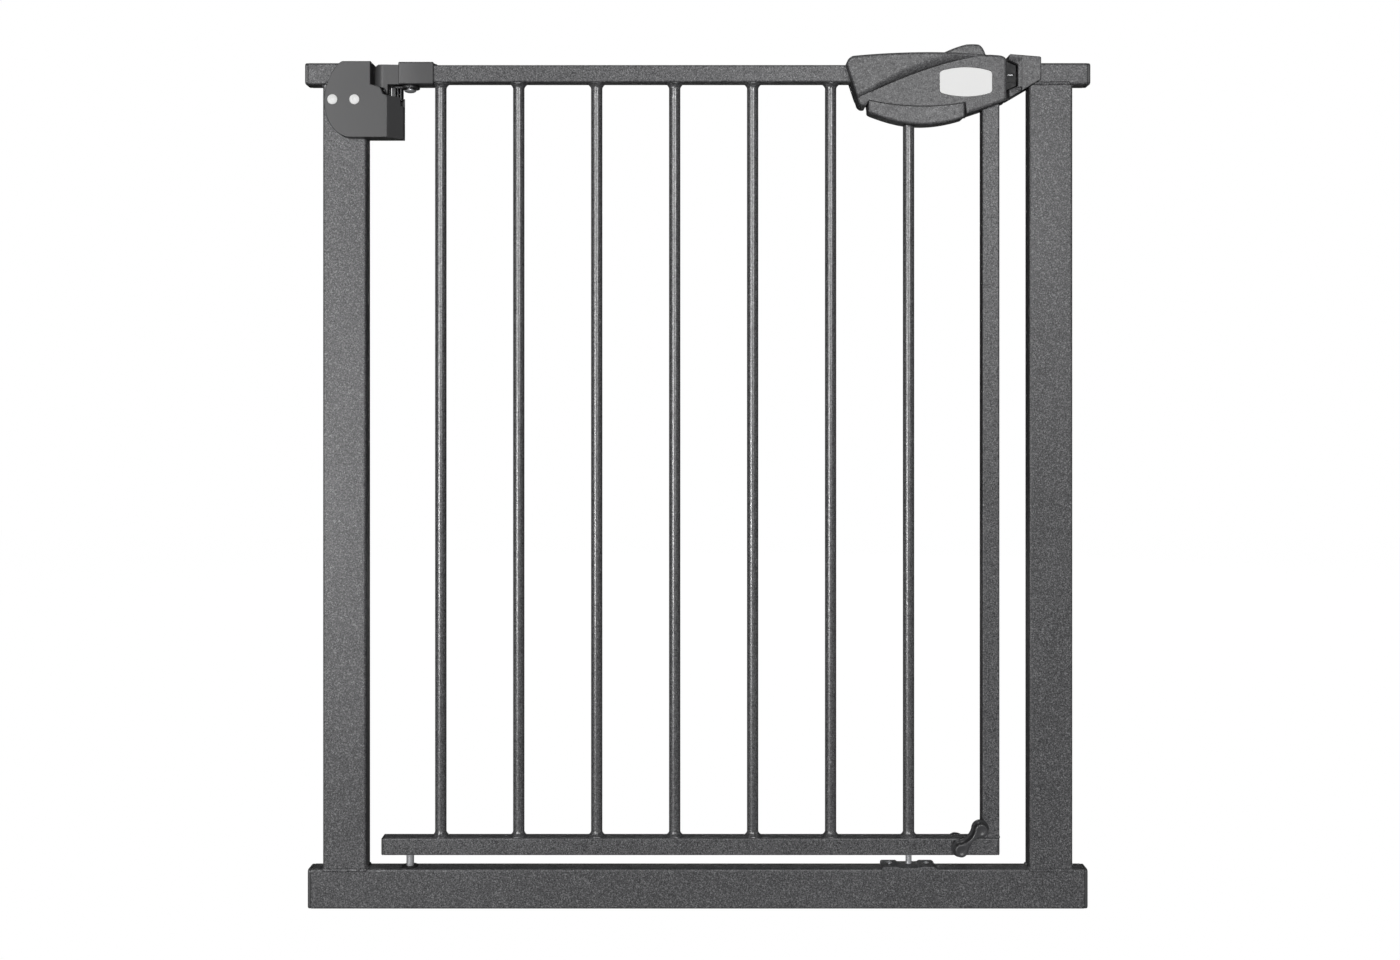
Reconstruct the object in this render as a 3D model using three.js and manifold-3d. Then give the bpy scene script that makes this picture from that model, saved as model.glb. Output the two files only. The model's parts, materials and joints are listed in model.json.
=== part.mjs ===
// Pressure-mounted safety gate: U-shaped frame, swinging barred leaf, two-action latch, swing-stop levers.
// Millimetres. +X right, +Y back, +Z up, origin on the floor at the middle of the frame.

import * as THREE from 'three';
import { mergeVertices } from 'three/addons/utils/BufferGeometryUtils.js';
import Module from 'manifold-3d';

const wasm = await Module();
wasm.setup();

// ---------- driving dimensions ----------

const gap = 0.3; // between pieces that touch

// frame
const armSpan = 725; // over the end plugs of the top arms
const railSpan = 720; // over the end plugs of the bottom rail
const frameDepth = 20;
const frameWall = 1.5;
const frameCorner = 3;
const railHeight = 37;
const postWidth = 40;
const postCentre = 326;
const postTop = 761;
const armHeight = 20;
const leftArmEnd = -306;
const rightArmEnd = 300;
const plugFlange = 2.8;
const plugBoss = 12;
const spindleSocketRadius = 5;

// leaf
const leafTube = 16;
const leafWall = 1.2;
const leafCorner = 2;
const leafLeft = -292.5;
const leafRight = 279;
const topRailLeft = -258;
const topRailBottom = 763.5;
const bottomRailBottom = 49;
const leafPlugFlange = 1.5;
const barRadius = 5.25;
const barWall = 0.9;
const barCount = 7;
const firstBarX = -238.6;
const barPitch = 72.4;

// pivots
const pivotX = -267;
const lowerPinRadius = 3.5;
const upperPinRadius = 2.9;
const lugBottom = 758.4;
const lugTop = 759.9;
const washerTop = 761;
const pinHeadHeight = 1.7;

// hinge housing
const housingFace = 18;
const housingSplit = 3;
const housingTop = 781;
const housingBottom = 711;
const housingRearBottom = 714;
const housingRight = -272.4;
const housingScrewXs = [-335.2, -315];
const housingScrewZ = 745.7;

// latch handle
const handleFace = 16.5;
const wingFace = 19.5;
const triggerHalfDepth = 14.6;
const triggerCavityHalfDepth = 15;
const triggerTravelRoof = 754.5;
const inlayCentre = [246.4, 762];
const inlayHalf = [24.1, 10.6];
const inlayCrown = 2.9;
const handleScrews = [[151.5, 752], [254.5, 747], [172, 783.9]];

// latch bolt and its keeper
const boltZ = 771.5;
const boltHalf = 6;
const boltRear = 200;
const boltTip = 294.6;
const keeperFace = 15;
const keeperWindowRight = 295;

// lock rod in the last bar
const rodRadius = 2.8;
const rodBottom = 39.4;
const rodTop = 745;
const crossPinZ = 733;
const crossPinRadius = 1.45;

// guide clip on the frame rail
const guideLeft = 170.5;
const guideRight = 220;
const guideHalfDepth = 11.5;
const guideTop = 39.7;
const guideFloor = 38.5;
const guideLipBottom = 31.3;
const guideChannel = [185.3, 205.5];
const guideRivetXs = [178, 212];

// swing-stop levers
const leverX = 241.6;
const leverZ = 56.8;
const leverReach = 26.1;
const leverFace = 22;
const axleRadius = 2;

// ---------- finishes ----------

function finish(color, roughness, metalness) {
  return () => new THREE.MeshStandardMaterial({ color, roughness, metalness });
}

const paintedSteel = finish(0x55565a, 0.5, 0.4);
const greyPlastic = finish(0x4c4d50, 0.55, 0);
const blackPlastic = finish(0x1f2023, 0.45, 0);
const palePlastic = finish(0xf2f2f0, 0.4, 0);
const zincSteel = finish(0xb9bcc0, 0.35, 0.9);
const springSteel = finish(0x8b8e92, 0.35, 0.9);

// ---------- solid helpers ----------

function solid(geometry) {
  geometry.deleteAttribute('normal');
  geometry.deleteAttribute('uv');
  const merged = mergeVertices(geometry, 1e-4);
  const vertProperties = new Float32Array(merged.attributes.position.array);
  const triVerts = new Uint32Array(merged.index.array);
  return new wasm.Manifold(new wasm.Mesh({ numProp: 3, vertProperties, triVerts }));
}

function box([x0, x1], [y0, y1], [z0, z1]) {
  const geometry = new THREE.BoxGeometry(x1 - x0, y1 - y0, z1 - z0);
  geometry.translate((x0 + x1) / 2, (y0 + y1) / 2, (z0 + z1) / 2);
  return solid(geometry);
}

// Extrudes a shape along an axis. Along x the shape's plane is (y, z); along y it is (x, z); along z (x, y).
function extrude(shape, axis, [from, to], curveSegments = 4) {
  const options = { depth: to - from, bevelEnabled: false, curveSegments };
  const geometry = new THREE.ExtrudeGeometry(shape, options);
  if (axis === 'x') {
    geometry.applyMatrix4(new THREE.Matrix4().set(0, 0, 1, from, 1, 0, 0, 0, 0, 1, 0, 0, 0, 0, 0, 1));
  }
  if (axis === 'y') {
    geometry.rotateX(Math.PI / 2);
    geometry.translate(0, to, 0);
  }
  if (axis === 'z') {
    geometry.translate(0, 0, from);
  }
  return solid(geometry);
}

// A cylinder along an axis; centre holds the two other coordinates in x, y, z order.
function cylinder(axis, radius, [from, to], centre, segments = 20) {
  const geometry = new THREE.CylinderGeometry(radius, radius, to - from, segments);
  const middle = (from + to) / 2;
  if (axis === 'x') {
    geometry.rotateZ(Math.PI / 2);
    geometry.translate(middle, centre[0], centre[1]);
  }
  if (axis === 'y') {
    geometry.translate(centre[0], middle, centre[1]);
  }
  if (axis === 'z') {
    geometry.rotateX(Math.PI / 2);
    geometry.translate(centre[0], centre[1], middle);
  }
  return solid(geometry);
}

function polygon(points) {
  return new THREE.Shape(points.map(([a, b]) => new THREE.Vector2(a, b)));
}

function roundedRectangle([a0, a1], [b0, b1], radius) {
  const shape = new THREE.Shape();
  shape.moveTo(a0 + radius, b0);
  shape.lineTo(a1 - radius, b0);
  shape.absarc(a1 - radius, b0 + radius, radius, -Math.PI / 2, 0);
  shape.lineTo(a1, b1 - radius);
  shape.absarc(a1 - radius, b1 - radius, radius, 0, Math.PI / 2);
  shape.lineTo(a0 + radius, b1);
  shape.absarc(a0 + radius, b1 - radius, radius, Math.PI / 2, Math.PI);
  shape.lineTo(a0, b0 + radius);
  shape.absarc(a0 + radius, b0 + radius, radius, Math.PI, Math.PI * 1.5);
  return shape;
}

function rectangularTube(axis, span, rangeA, rangeB, wall, corner) {
  const shape = roundedRectangle(rangeA, rangeB, corner);
  const insideA = [rangeA[0] + wall, rangeA[1] - wall];
  const insideB = [rangeB[0] + wall, rangeB[1] - wall];
  shape.holes.push(roundedRectangle(insideA, insideB, corner - wall / 2));
  return extrude(shape, axis, span, 3);
}

function coil(axis, wireRadius, coilRadius, [from, to], centre, turns, stepsPerTurn = 12) {
  const points = [];
  const steps = turns * stepsPerTurn;
  for (let i = 0; i <= steps; i += 1) {
    const angle = (i / stepsPerTurn) * 2 * Math.PI;
    const along = from + ((to - from) * i) / steps;
    const a = centre[0] + coilRadius * Math.cos(angle);
    const b = centre[1] + coilRadius * Math.sin(angle);
    points.push(axis === 'z' ? new THREE.Vector3(a, b, along) : new THREE.Vector3(along, a, b));
  }
  const wire = new THREE.Shape();
  wire.absarc(0, 0, wireRadius, 0, Math.PI * 2);
  const path = new THREE.CatmullRomCurve3(points);
  const geometry = new THREE.ExtrudeGeometry(wire, { extrudePath: path, steps, curveSegments: 3 });
  return solid(geometry);
}

function grown([low, high], amount) {
  return [low - amount, high + amount];
}

function mirrorDepth([low, high]) {
  return [-high, -low];
}

const gate = new THREE.Group();

function addPart(name, shape, material) {
  const mesh = shape.getMesh();
  const geometry = new THREE.BufferGeometry();
  geometry.setAttribute('position', new THREE.BufferAttribute(new Float32Array(mesh.vertProperties), 3));
  geometry.setIndex(new THREE.BufferAttribute(new Uint32Array(mesh.triVerts), 1));
  geometry.computeVertexNormals();
  const part = new THREE.Mesh(geometry, material());
  part.name = name;
  gate.add(part);
}

// ---------- frame: rail, posts, arms and end plugs ----------

const halfDepth = frameDepth / 2;
const depthRange = [-halfDepth, halfDepth];
const armRange = [postTop, postTop + armHeight];
const lastBarX = firstBarX + (barCount - 1) * barPitch;

function addBottomRail() {
  const end = railSpan / 2 - plugFlange - gap;
  let rail = rectangularTube('x', [-end, end], depthRange, [0, railHeight], frameWall, frameCorner);
  rail = rail.subtract(cylinder('z', 6.3, [30, railHeight + 2], [pivotX, 0]));
  for (const x of guideRivetXs) {
    rail = rail.subtract(cylinder('z', 1.7, [30, railHeight + 2], [x, 0], 12));
  }
  addPart('bottom_rail', rail, paintedSteel);
}

function addPosts() {
  for (const [name, centre] of [['left_post', -postCentre], ['right_post', postCentre]]) {
    const width = [centre - postWidth / 2, centre + postWidth / 2];
    const shape = ['z', [railHeight + gap, postTop - gap], width, depthRange, frameWall, frameCorner];
    let post = rectangularTube(...shape);
    if (centre < 0) {
      for (const x of housingScrewXs) {
        post = post.subtract(cylinder('y', 3.1, [-15, 15], [x, housingScrewZ], 16));
      }
    }
    addPart(name, post, paintedSteel);
  }
}

function addArms() {
  const end = armSpan / 2 - plugFlange - gap;
  const left = rectangularTube('x', [-end, leftArmEnd], depthRange, armRange, frameWall, frameCorner);
  const right = rectangularTube('x', [rightArmEnd, end], depthRange, armRange, frameWall, frameCorner);
  addPart('left_top_arm', left, paintedSteel);
  addPart('right_top_arm', right, paintedSteel);
}

// A plug fills a tube's end and holds the socket for a pressure spindle.
function addEndPlug(name, side, face, heightRange) {
  const flangeSpan = [face - plugFlange, face];
  const bossSpan = [face - plugFlange - plugBoss, face - plugFlange / 2];
  const inset = frameWall + gap;
  const spans = side < 0 ? [mirrorDepth(flangeSpan), mirrorDepth(bossSpan)] : [flangeSpan, bossSpan];
  const flange = extrude(roundedRectangle(depthRange, heightRange, frameCorner), 'x', spans[0], 3);
  const bossOutline = roundedRectangle(grown(depthRange, -inset), grown(heightRange, -inset), 1.6);
  const boss = extrude(bossOutline, 'x', spans[1], 2);
  const middle = (heightRange[0] + heightRange[1]) / 2;
  const socketSpan = side < 0 ? [-400, -300] : [300, 400];
  const socket = cylinder('x', spindleSocketRadius, socketSpan, [0, middle]);
  addPart(name, flange.add(boss).subtract(socket), blackPlastic);
}

function addEndPlugs() {
  addEndPlug('end_plug_top_left', -1, armSpan / 2, armRange);
  addEndPlug('end_plug_top_right', 1, armSpan / 2, armRange);
  addEndPlug('end_plug_bottom_left', -1, railSpan / 2, [0, railHeight]);
  addEndPlug('end_plug_bottom_right', 1, railSpan / 2, [0, railHeight]);
}

// ---------- lower pivot and the guide of the lock rod ----------

function addLowerPivot() {
  const sleeve = cylinder('z', 6, [27, railHeight + 1.1], [pivotX, 0]);
  const flange = cylinder('z', 7.5, [railHeight + gap, railHeight + 1.1], [pivotX, 0]);
  const bore = cylinder('z', lowerPinRadius + gap, [20, 50], [pivotX, 0]);
  addPart('pivot_bush', sleeve.add(flange).subtract(bore), blackPlastic);
  addPart('lower_pivot_pin', cylinder('z', lowerPinRadius, [30, 60], [pivotX, 0]), paintedSteel);
}

function addBoltGuide() {
  const width = [guideLeft, guideRight];
  let guide = box(width, [-guideHalfDepth, guideHalfDepth], [guideLipBottom, guideTop]);
  guide = guide.subtract(box(grown(width, 5), grown(depthRange, gap), [20, railHeight + gap]));
  guide = guide.subtract(box(guideChannel, [-20, 20], [guideFloor, 50]));
  for (const x of guideRivetXs) {
    guide = guide.subtract(cylinder('z', 1.7, [30, 50], [x, 0], 12));
  }
  addPart('bolt_guide', guide, paintedSteel);
  const names = ['guide_rivet_left', 'guide_rivet_right'];
  guideRivetXs.forEach((x, i) => {
    const shank = cylinder('z', 1.4, [33, guideTop + 1], [x, 0], 12);
    const head = cylinder('z', 2.6, [guideTop + gap, guideTop + 1.4], [x, 0], 16);
    addPart(names[i], shank.add(head), zincSteel);
  });
}

// ---------- hinge: bracket, pin, housing ----------

function addHingeBracket() {
  const wallPlate = box([-305.4, -302.6], [-9, 9], [718, 748]);
  const web = box([-303, -276.3], [-7, 7], [743, 748]);
  const riser = box([-283, -273.2], [-6, 6], [743, lugTop]);
  const lug = box([-283, pivotX], [-6, 6], [lugBottom, lugTop]);
  const eye = cylinder('z', 9, [lugBottom, lugTop], [pivotX, 0], 28);
  const hole = cylinder('z', upperPinRadius + gap, [740, 770], [pivotX, 0]);
  const bracket = wallPlate.add(web).add(riser).add(lug).add(eye).subtract(hole);
  addPart('hinge_bracket', bracket, springSteel);
}

function addUpperPivot() {
  const head = cylinder('z', 5.6, [lugBottom - gap - pinHeadHeight, lugBottom - gap], [pivotX, 0], 24);
  const shank = cylinder('z', upperPinRadius, [755, 776.5], [pivotX, 0]);
  addPart('upper_pivot_pin', head.add(shank), zincSteel);
  const ring = cylinder('z', 8, [lugTop + gap, washerTop], [pivotX, 0], 24);
  const hole = cylinder('z', upperPinRadius + gap, [750, 770], [pivotX, 0]);
  addPart('hinge_washer', ring.subtract(hole), zincSteel);
}

// Front view of the housing: round on the left, stepped on the upper right under the hinge sleeve.
function housingOutline() {
  const shape = new THREE.Shape();
  shape.moveTo(-326, housingTop);
  shape.lineTo(-300.5, housingTop);
  shape.lineTo(-300.5, 759.9);
  shape.lineTo(-291.8, 757.5);
  shape.lineTo(-288.7, 751);
  shape.lineTo(-285.5, 749.8);
  shape.lineTo(housingRight, 749.8);
  shape.lineTo(housingRight, housingBottom);
  shape.lineTo(-318.4, housingBottom);
  shape.bezierCurveTo(-333, housingBottom, -343.4, 727, -343.2, 746);
  shape.bezierCurveTo(-343, 758, -334, 779, -326, housingTop);
  return shape;
}

// Top view of the housing: the right side is rounded front and back.
function housingPlan() {
  const shape = new THREE.Shape();
  const flat = 6;
  const bend = housingFace - flat;
  const bendStart = -285;
  const reach = housingRight - bendStart;
  shape.moveTo(-350, -housingFace);
  shape.lineTo(bendStart, -housingFace);
  shape.absellipse(bendStart, -flat, reach, bend, -Math.PI / 2, 0, false, 0);
  shape.lineTo(housingRight, flat);
  shape.absellipse(bendStart, flat, reach, bend, 0, Math.PI / 2, false, 0);
  shape.lineTo(-350, housingFace);
  return shape;
}

function housingCavity() {
  const hollow = box([-310, -276.6], [-13, 13], [717, 742.4]);
  const webSlot = box([-310, -276], [-7.3, 7.3], [742, 748.3]);
  const plateSlot = box([-310, -302.3], [-9.3, 9.3], [717, 748.3]);
  const riserSlot = box([-283.3, -270], [-6.3, 6.3], [742, 752]);
  return hollow.add(webSlot).add(plateSlot).add(riserSlot);
}

function addHingeHousing() {
  const outline = extrude(housingOutline(), 'y', [-housingFace, housingFace], 6);
  const plan = extrude(housingPlan(), 'z', [700, 790], 6);
  let housing = outline.intersect(plan).subtract(housingCavity());
  housing = housing.subtract(box([-360, -305.7], grown(depthRange, gap), [700, 790]));
  for (const x of housingScrewXs) {
    housing = housing.subtract(cylinder('y', 3.1, [-30, 15.3], [x, housingScrewZ], 16));
  }
  const frontHalf = box([-360, -260], [-30, housingSplit - gap / 2], [700, 790]);
  const overPostFront = box([-360, -305.7], [-halfDepth, 30], [700, 790]);
  const rearHalf = box([-360, -260], [housingSplit + gap / 2, 30], [housingRearBottom, 790]);
  const overPostRear = box([-360, -305.7], [-30, halfDepth], [700, 790]);
  addPart('hinge_cover_front', housing.intersect(frontHalf).subtract(overPostFront), greyPlastic);
  addPart('hinge_cover_rear', housing.intersect(rearHalf).subtract(overPostRear), greyPlastic);
  const names = ['hinge_screw_outer', 'hinge_screw_inner'];
  housingScrewXs.forEach((x, i) => {
    const cap = cylinder('y', 4.6, [-housingFace - 1.2, -housingFace - gap], [x, housingScrewZ], 24);
    const shank = cylinder('y', 2.8, [-housingFace - 1, 15], [x, housingScrewZ], 16);
    addPart(names[i], cap.add(shank), palePlastic);
  });
}

// ---------- hinge sleeve on the leaf ----------

// The space about the pivot that stays clear of the housing's notch at every swing angle.
function swingRoom() {
  const steps = [[745, 21.2], [751, 21.2], [757.5, 24.3], [759.9, 33], [790, 33]];
  const cones = [];
  for (let i = 1; i < steps.length; i += 1) {
    const [bottom, bottomRadius] = steps[i - 1];
    const [top, topRadius] = steps[i];
    const cone = new THREE.CylinderGeometry(topRadius, bottomRadius, top - bottom, 48);
    cone.rotateX(Math.PI / 2);
    cone.translate(pivotX, 0, (bottom + top) / 2);
    cones.push(solid(cone));
  }
  return cones.reduce((joined, cone) => joined.add(cone));
}

function sleeveTail() {
  const profile = polygon([
    [-270, 779.3], [-295.4, 779.6], [-299.4, 776], [-299.4, 761.3], [-291.8, 758.6],
    [-288.4, 752.2], [-286.4, 752.2], [-286.4, 761.3], [-270, 761.3],
  ]);
  const plan = new THREE.Shape();
  plan.moveTo(-270, -9.3);
  plan.lineTo(-270, 9.3);
  plan.lineTo(-290.1, 9.3);
  plan.absarc(-290.1, 0, 9.3, Math.PI / 2, Math.PI * 1.5);
  const tail = extrude(profile, 'y', [-12, 12]).intersect(extrude(plan, 'z', [740, 790], 10));
  return tail.intersect(swingRoom());
}

function addHingeSleeve() {
  let sleeve = box([-276.3, -244], [-10.5, 10.5], [761.3, 782]).add(sleeveTail());
  const tubeHalf = leafTube / 2 + gap;
  const socketZ = [topRailBottom - gap, topRailBottom + leafTube + gap];
  sleeve = sleeve.subtract(box([topRailLeft - gap, -240], [-tubeHalf, tubeHalf], socketZ));
  sleeve = sleeve.subtract(cylinder('z', upperPinRadius + gap, [750, 777], [pivotX, 0]));
  sleeve = sleeve.subtract(cylinder('z', 7, [763, 775], [pivotX, 0], 24));
  addPart('hinge_sleeve', sleeve, greyPlastic);
  addPart('closing_spring', coil('z', 0.8, 5, [764.2, 773.8], [pivotX, 0], 5, 10), springSteel);
}

// ---------- leaf: rails, upright, bars ----------

function addTopRail() {
  const height = [topRailBottom, topRailBottom + leafTube];
  const depth = [-leafTube / 2, leafTube / 2];
  let rail = rectangularTube('x', [topRailLeft, leafRight], depth, height, leafWall, leafCorner);
  rail = rail.subtract(box([225.8, 247.6], [-3.3, 3.3], [777, 782]));
  addPart('gate_top_rail', rail, paintedSteel);
}

function addBottomLeafRail() {
  const height = [bottomRailBottom, bottomRailBottom + leafTube];
  const depth = [-leafTube / 2, leafTube / 2];
  const span = [leafLeft + leafPlugFlange + gap, leafRight - leafPlugFlange - gap];
  let rail = rectangularTube('x', span, depth, height, leafWall, leafCorner);
  rail = rail.subtract(cylinder('z', lowerPinRadius + gap, [45, 55], [pivotX, 0]));
  rail = rail.subtract(cylinder('z', rodRadius + 0.6, [45, 70], [lastBarX, 0]));
  rail = rail.subtract(cylinder('y', axleRadius + gap, [-12, 12], [leverX, leverZ], 16));
  addPart('gate_bottom_rail', rail, paintedSteel);
  const inset = leafWall + gap;
  for (const [name, outer, inward] of [
    ['gate_rail_plug_left', leafLeft, 1],
    ['gate_rail_plug_right', leafRight, -1],
  ]) {
    const flangeEnds = [outer, outer + inward * leafPlugFlange].sort((a, b) => a - b);
    const bossEnds = [outer + inward, outer + inward * 9].sort((a, b) => a - b);
    const flange = extrude(roundedRectangle(depth, height, leafCorner), 'x', flangeEnds, 3);
    const bossSection = roundedRectangle(grown(depth, -inset), grown(height, -inset), 1);
    const boss = extrude(bossSection, 'x', bossEnds, 2);
    addPart(name, flange.add(boss), blackPlastic);
  }
}

function addUpright() {
  const bottom = bottomRailBottom + leafTube + gap;
  const width = [leafRight - leafTube, leafRight];
  const depth = [-leafTube / 2, leafTube / 2];
  const upright = rectangularTube('z', [bottom, topRailBottom - gap], width, depth, leafWall, leafCorner);
  addPart('gate_upright', upright, paintedSteel);
}

function addBars() {
  const span = [bottomRailBottom + leafTube + gap, topRailBottom - gap];
  for (let i = 1; i <= barCount; i += 1) {
    const x = firstBarX + (i - 1) * barPitch;
    const last = i === barCount;
    const bore = last ? rodRadius + 0.6 : barRadius - barWall;
    let bar = cylinder('z', barRadius, span, [x, 0]);
    bar = bar.subtract(cylinder('z', bore, grown(span, 5), [x, 0]));
    if (last) {
      bar = bar.subtract(box([x - 1.9, x + 1.9], [-8, 8], [crossPinZ - 2.5, crossPinZ + 9.5]));
    }
    addPart(`bar_${i}`, bar, paintedSteel);
  }
}

// ---------- handle ----------

// The handle's outer line, with its lower middle cut away along the top of the squeeze grip.
function handleOutline() {
  const shape = new THREE.Shape();
  shape.moveTo(142.3, 785.8);
  shape.quadraticCurveTo(136, 783, 137, 777);
  shape.lineTo(148.2, 743);
  shape.quadraticCurveTo(150.8, 739.2, 154.8, 740.4);
  shape.lineTo(157.5, 745.2);
  shape.quadraticCurveTo(203, 735.4, 245.9, 743.2);
  shape.lineTo(247.5, 732.9);
  shape.lineTo(262.5, 737.9);
  shape.lineTo(284, 745.5);
  shape.lineTo(284, 782.5);
  shape.quadraticCurveTo(283, 786.6, 276, 787);
  shape.quadraticCurveTo(205, 792, 142.3, 785.8);
  return shape;
}

// The raised wing on the upper left, bounded below by the long rising crease.
function wingOutline() {
  const shape = new THREE.Shape();
  shape.moveTo(142.3, 785.8);
  shape.quadraticCurveTo(136, 783, 137, 777);
  shape.lineTo(146, 749.2);
  shape.quadraticCurveTo(148, 747.6, 151, 749.2);
  shape.bezierCurveTo(185, 765.5, 225, 782.5, 268, 787.6);
  shape.quadraticCurveTo(205, 791, 142.3, 785.8);
  return shape;
}

function inlayOutline(offset) {
  const [middleX, middleZ] = inlayCentre;
  const left = middleX - inlayHalf[0] - offset;
  const right = middleX + inlayHalf[0] + offset;
  const bottom = middleZ - inlayHalf[1] - offset;
  const top = middleZ + inlayHalf[1] + offset;
  const shape = new THREE.Shape();
  shape.moveTo(left + 3, bottom);
  shape.quadraticCurveTo(middleX, bottom - 2 * inlayCrown, right - 3, bottom);
  shape.quadraticCurveTo(right, bottom + 1, right, middleZ - 7);
  shape.lineTo(right, middleZ + 7);
  shape.quadraticCurveTo(right, top - 1, right - 3, top);
  shape.quadraticCurveTo(middleX, top + 2 * inlayCrown, left + 3, top);
  shape.quadraticCurveTo(left, top - 1, left, middleZ + 7);
  shape.lineTo(left, middleZ - 7);
  shape.quadraticCurveTo(left, bottom + 1, left + 3, bottom);
  return shape;
}

function noseOutline() {
  return [[279.7, 756.4], [284, 755.3], [294.3, 759.6], [294.3, 778.7], [284, 783.3], [279.7, 783.3]];
}

function handleCavity() {
  const tubeHalf = leafTube / 2 + 0.4;
  const pieces = [
    box([130, 290], [-tubeHalf, tubeHalf], [topRailBottom - 0.4, topRailBottom + leafTube + 0.4]),
    box([leafRight - leafTube - 0.4, leafRight + 0.4], [-tubeHalf, tubeHalf], [700, 770]),
    box([156.5, 246.4], [-triggerCavityHalfDepth, triggerCavityHalfDepth], [700, triggerTravelRoof]),
    cylinder('z', barRadius + 0.5, [750, 768], [lastBarX, 0]),
    cylinder('z', 4.4, [750, 761.5], [175, 0], 16),
    box([210, 269.5], [-8.9, 8.9], [784.2, 800]),
    box([225.6, 247.8], [-3.4, 3.4], [775, 790]),
    box([279, 290], [-8.4, 8.4], [754.9, 783.7]),
  ];
  return pieces.reduce((joined, piece) => joined.add(piece));
}

function addHandle() {
  const base = extrude(handleOutline(), 'y', [-handleFace, handleFace], 8);
  const wing = extrude(wingOutline(), 'y', [-wingFace, wingFace], 8);
  let handle = base.add(wing).subtract(handleCavity());
  handleScrews.forEach(([x, z], i) => {
    handle = handle.subtract(cylinder('y', 1.6, [-8.3, 30], [x, z], 12));
    handle = handle.subtract(cylinder('y', 3, [14, 30], [x, z], 16));
    const shank = cylinder('y', 1.3, [-8, 15], [x, z], 12);
    const head = cylinder('y', 2.6, [14.3, 15.9], [x, z], 16);
    addPart(`handle_screw_${i + 1}`, shank.add(head), zincSteel);
  });
  const recess = extrude(inlayOutline(gap), 'y', [-30, -handleFace + 0.7], 6);
  const front = handle.intersect(box([100, 300], [-30, -gap / 2], [700, 800])).subtract(recess);
  const rear = handle.intersect(box([100, 300], [gap / 2, 30], [700, 800]));
  addPart('handle_front_shell', front, greyPlastic);
  addPart('handle_rear_shell', rear, greyPlastic);
  const inlay = extrude(inlayOutline(0), 'y', [-handleFace, -handleFace + 0.4], 6);
  addPart('handle_inlay', inlay, palePlastic);
}

// ---------- latch bolt, thumb slider and nose ----------

function addLatch() {
  const nose = extrude(polygon(noseOutline()), 'y', [-8, 8]);
  const noseBore = boltHalf + 0.4;
  const passage = box([270, 300], [-noseBore, noseBore], [boltZ - noseBore, boltZ + noseBore]);
  addPart('latch_nose', nose.subtract(passage), blackPlastic);

  const bevel = 1.5;
  const low = boltZ - boltHalf;
  const high = boltZ + boltHalf;
  const profile = [
    [boltRear, low], [boltTip - bevel, low], [boltTip, low + bevel],
    [boltTip, high - bevel], [boltTip - bevel, high], [boltRear, high],
  ];
  const bar = extrude(polygon(profile), 'y', [-boltHalf, boltHalf]);
  const springBore = cylinder('x', 4.4, [boltRear - 5, 225], [0, boltZ]);
  addPart('latch_bolt', bar.subtract(springBore), zincSteel);
  addPart('latch_spring', coil('x', 0.6, 3.3, [172.5, 214.8], [0, boltZ], 6, 8), springSteel);
  addPart('latch_spring_seat', box([168, 171.6], [-6.3, 6.3], [boltZ - 6.3, boltZ + 6.3]), blackPlastic);

  const bump = polygon([
    [222, 784.6], [223.6, 789.2], [248.7, 799], [260.8, 799], [266.5, 789.2], [266.5, 784.6],
  ]);
  const stem = box([236, 246.5], [-2.9, 2.9], [high + gap, 786]);
  addPart('thumb_slider', extrude(bump, 'y', [-8.2, 8.2]).add(stem), greyPlastic);
}

// ---------- keeper on the right arm ----------

function addKeeper() {
  const outline = polygon([[286.6, 788.2], [316, 785.8], [316, 765], [286.6, 747.6]]);
  const window = polygon([
    [280, 785.6], [keeperWindowRight, 779.2], [keeperWindowRight, 759], [280, 752.9],
  ]);
  const arm = box([rightArmEnd - gap, 320], grown(depthRange, gap), [740, postTop + armHeight + gap]);
  const plateRecess = box([290, 297.1], [-10, 10], [759.7, 779.2]);
  const boltPocket = box([290, 299.4], [-6.7, 6.7], [boltZ - 6.7, boltZ + 6.7]);
  const screwHole = cylinder('y', 1.5, [-30, 12.3], [296.2, 756], 12);
  let keeper = extrude(outline, 'y', [-keeperFace, keeperFace]);
  keeper = keeper.subtract(extrude(window, 'y', [-20, 20]));
  keeper = keeper.subtract(arm).subtract(plateRecess).subtract(boltPocket).subtract(screwHole);
  const front = keeper.intersect(box([280, 320], [-30, -gap / 2], [740, 790]));
  const rear = keeper.intersect(box([280, 320], [gap / 2, 30], [740, 790]));
  addPart('keeper_front', front, greyPlastic);
  addPart('keeper_rear', rear, greyPlastic);
  const plate = box([295.3, 296.8], [-9.7, 9.7], [760, 778.9]);
  const plateHole = box([290, 300], [-6.7, 6.7], [boltZ - 6.7, boltZ + 6.2]);
  addPart('strike_plate', plate.subtract(plateHole), zincSteel);
  const shank = cylinder('y', 1.2, [-keeperFace - 0.8, 12], [296.2, 756], 12);
  const head = cylinder('y', 2.1, [-keeperFace - 1.1, -keeperFace - gap], [296.2, 756], 16);
  addPart('keeper_screw', shank.add(head), zincSteel);
}

// ---------- squeeze grip and lock rod ----------

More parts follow.
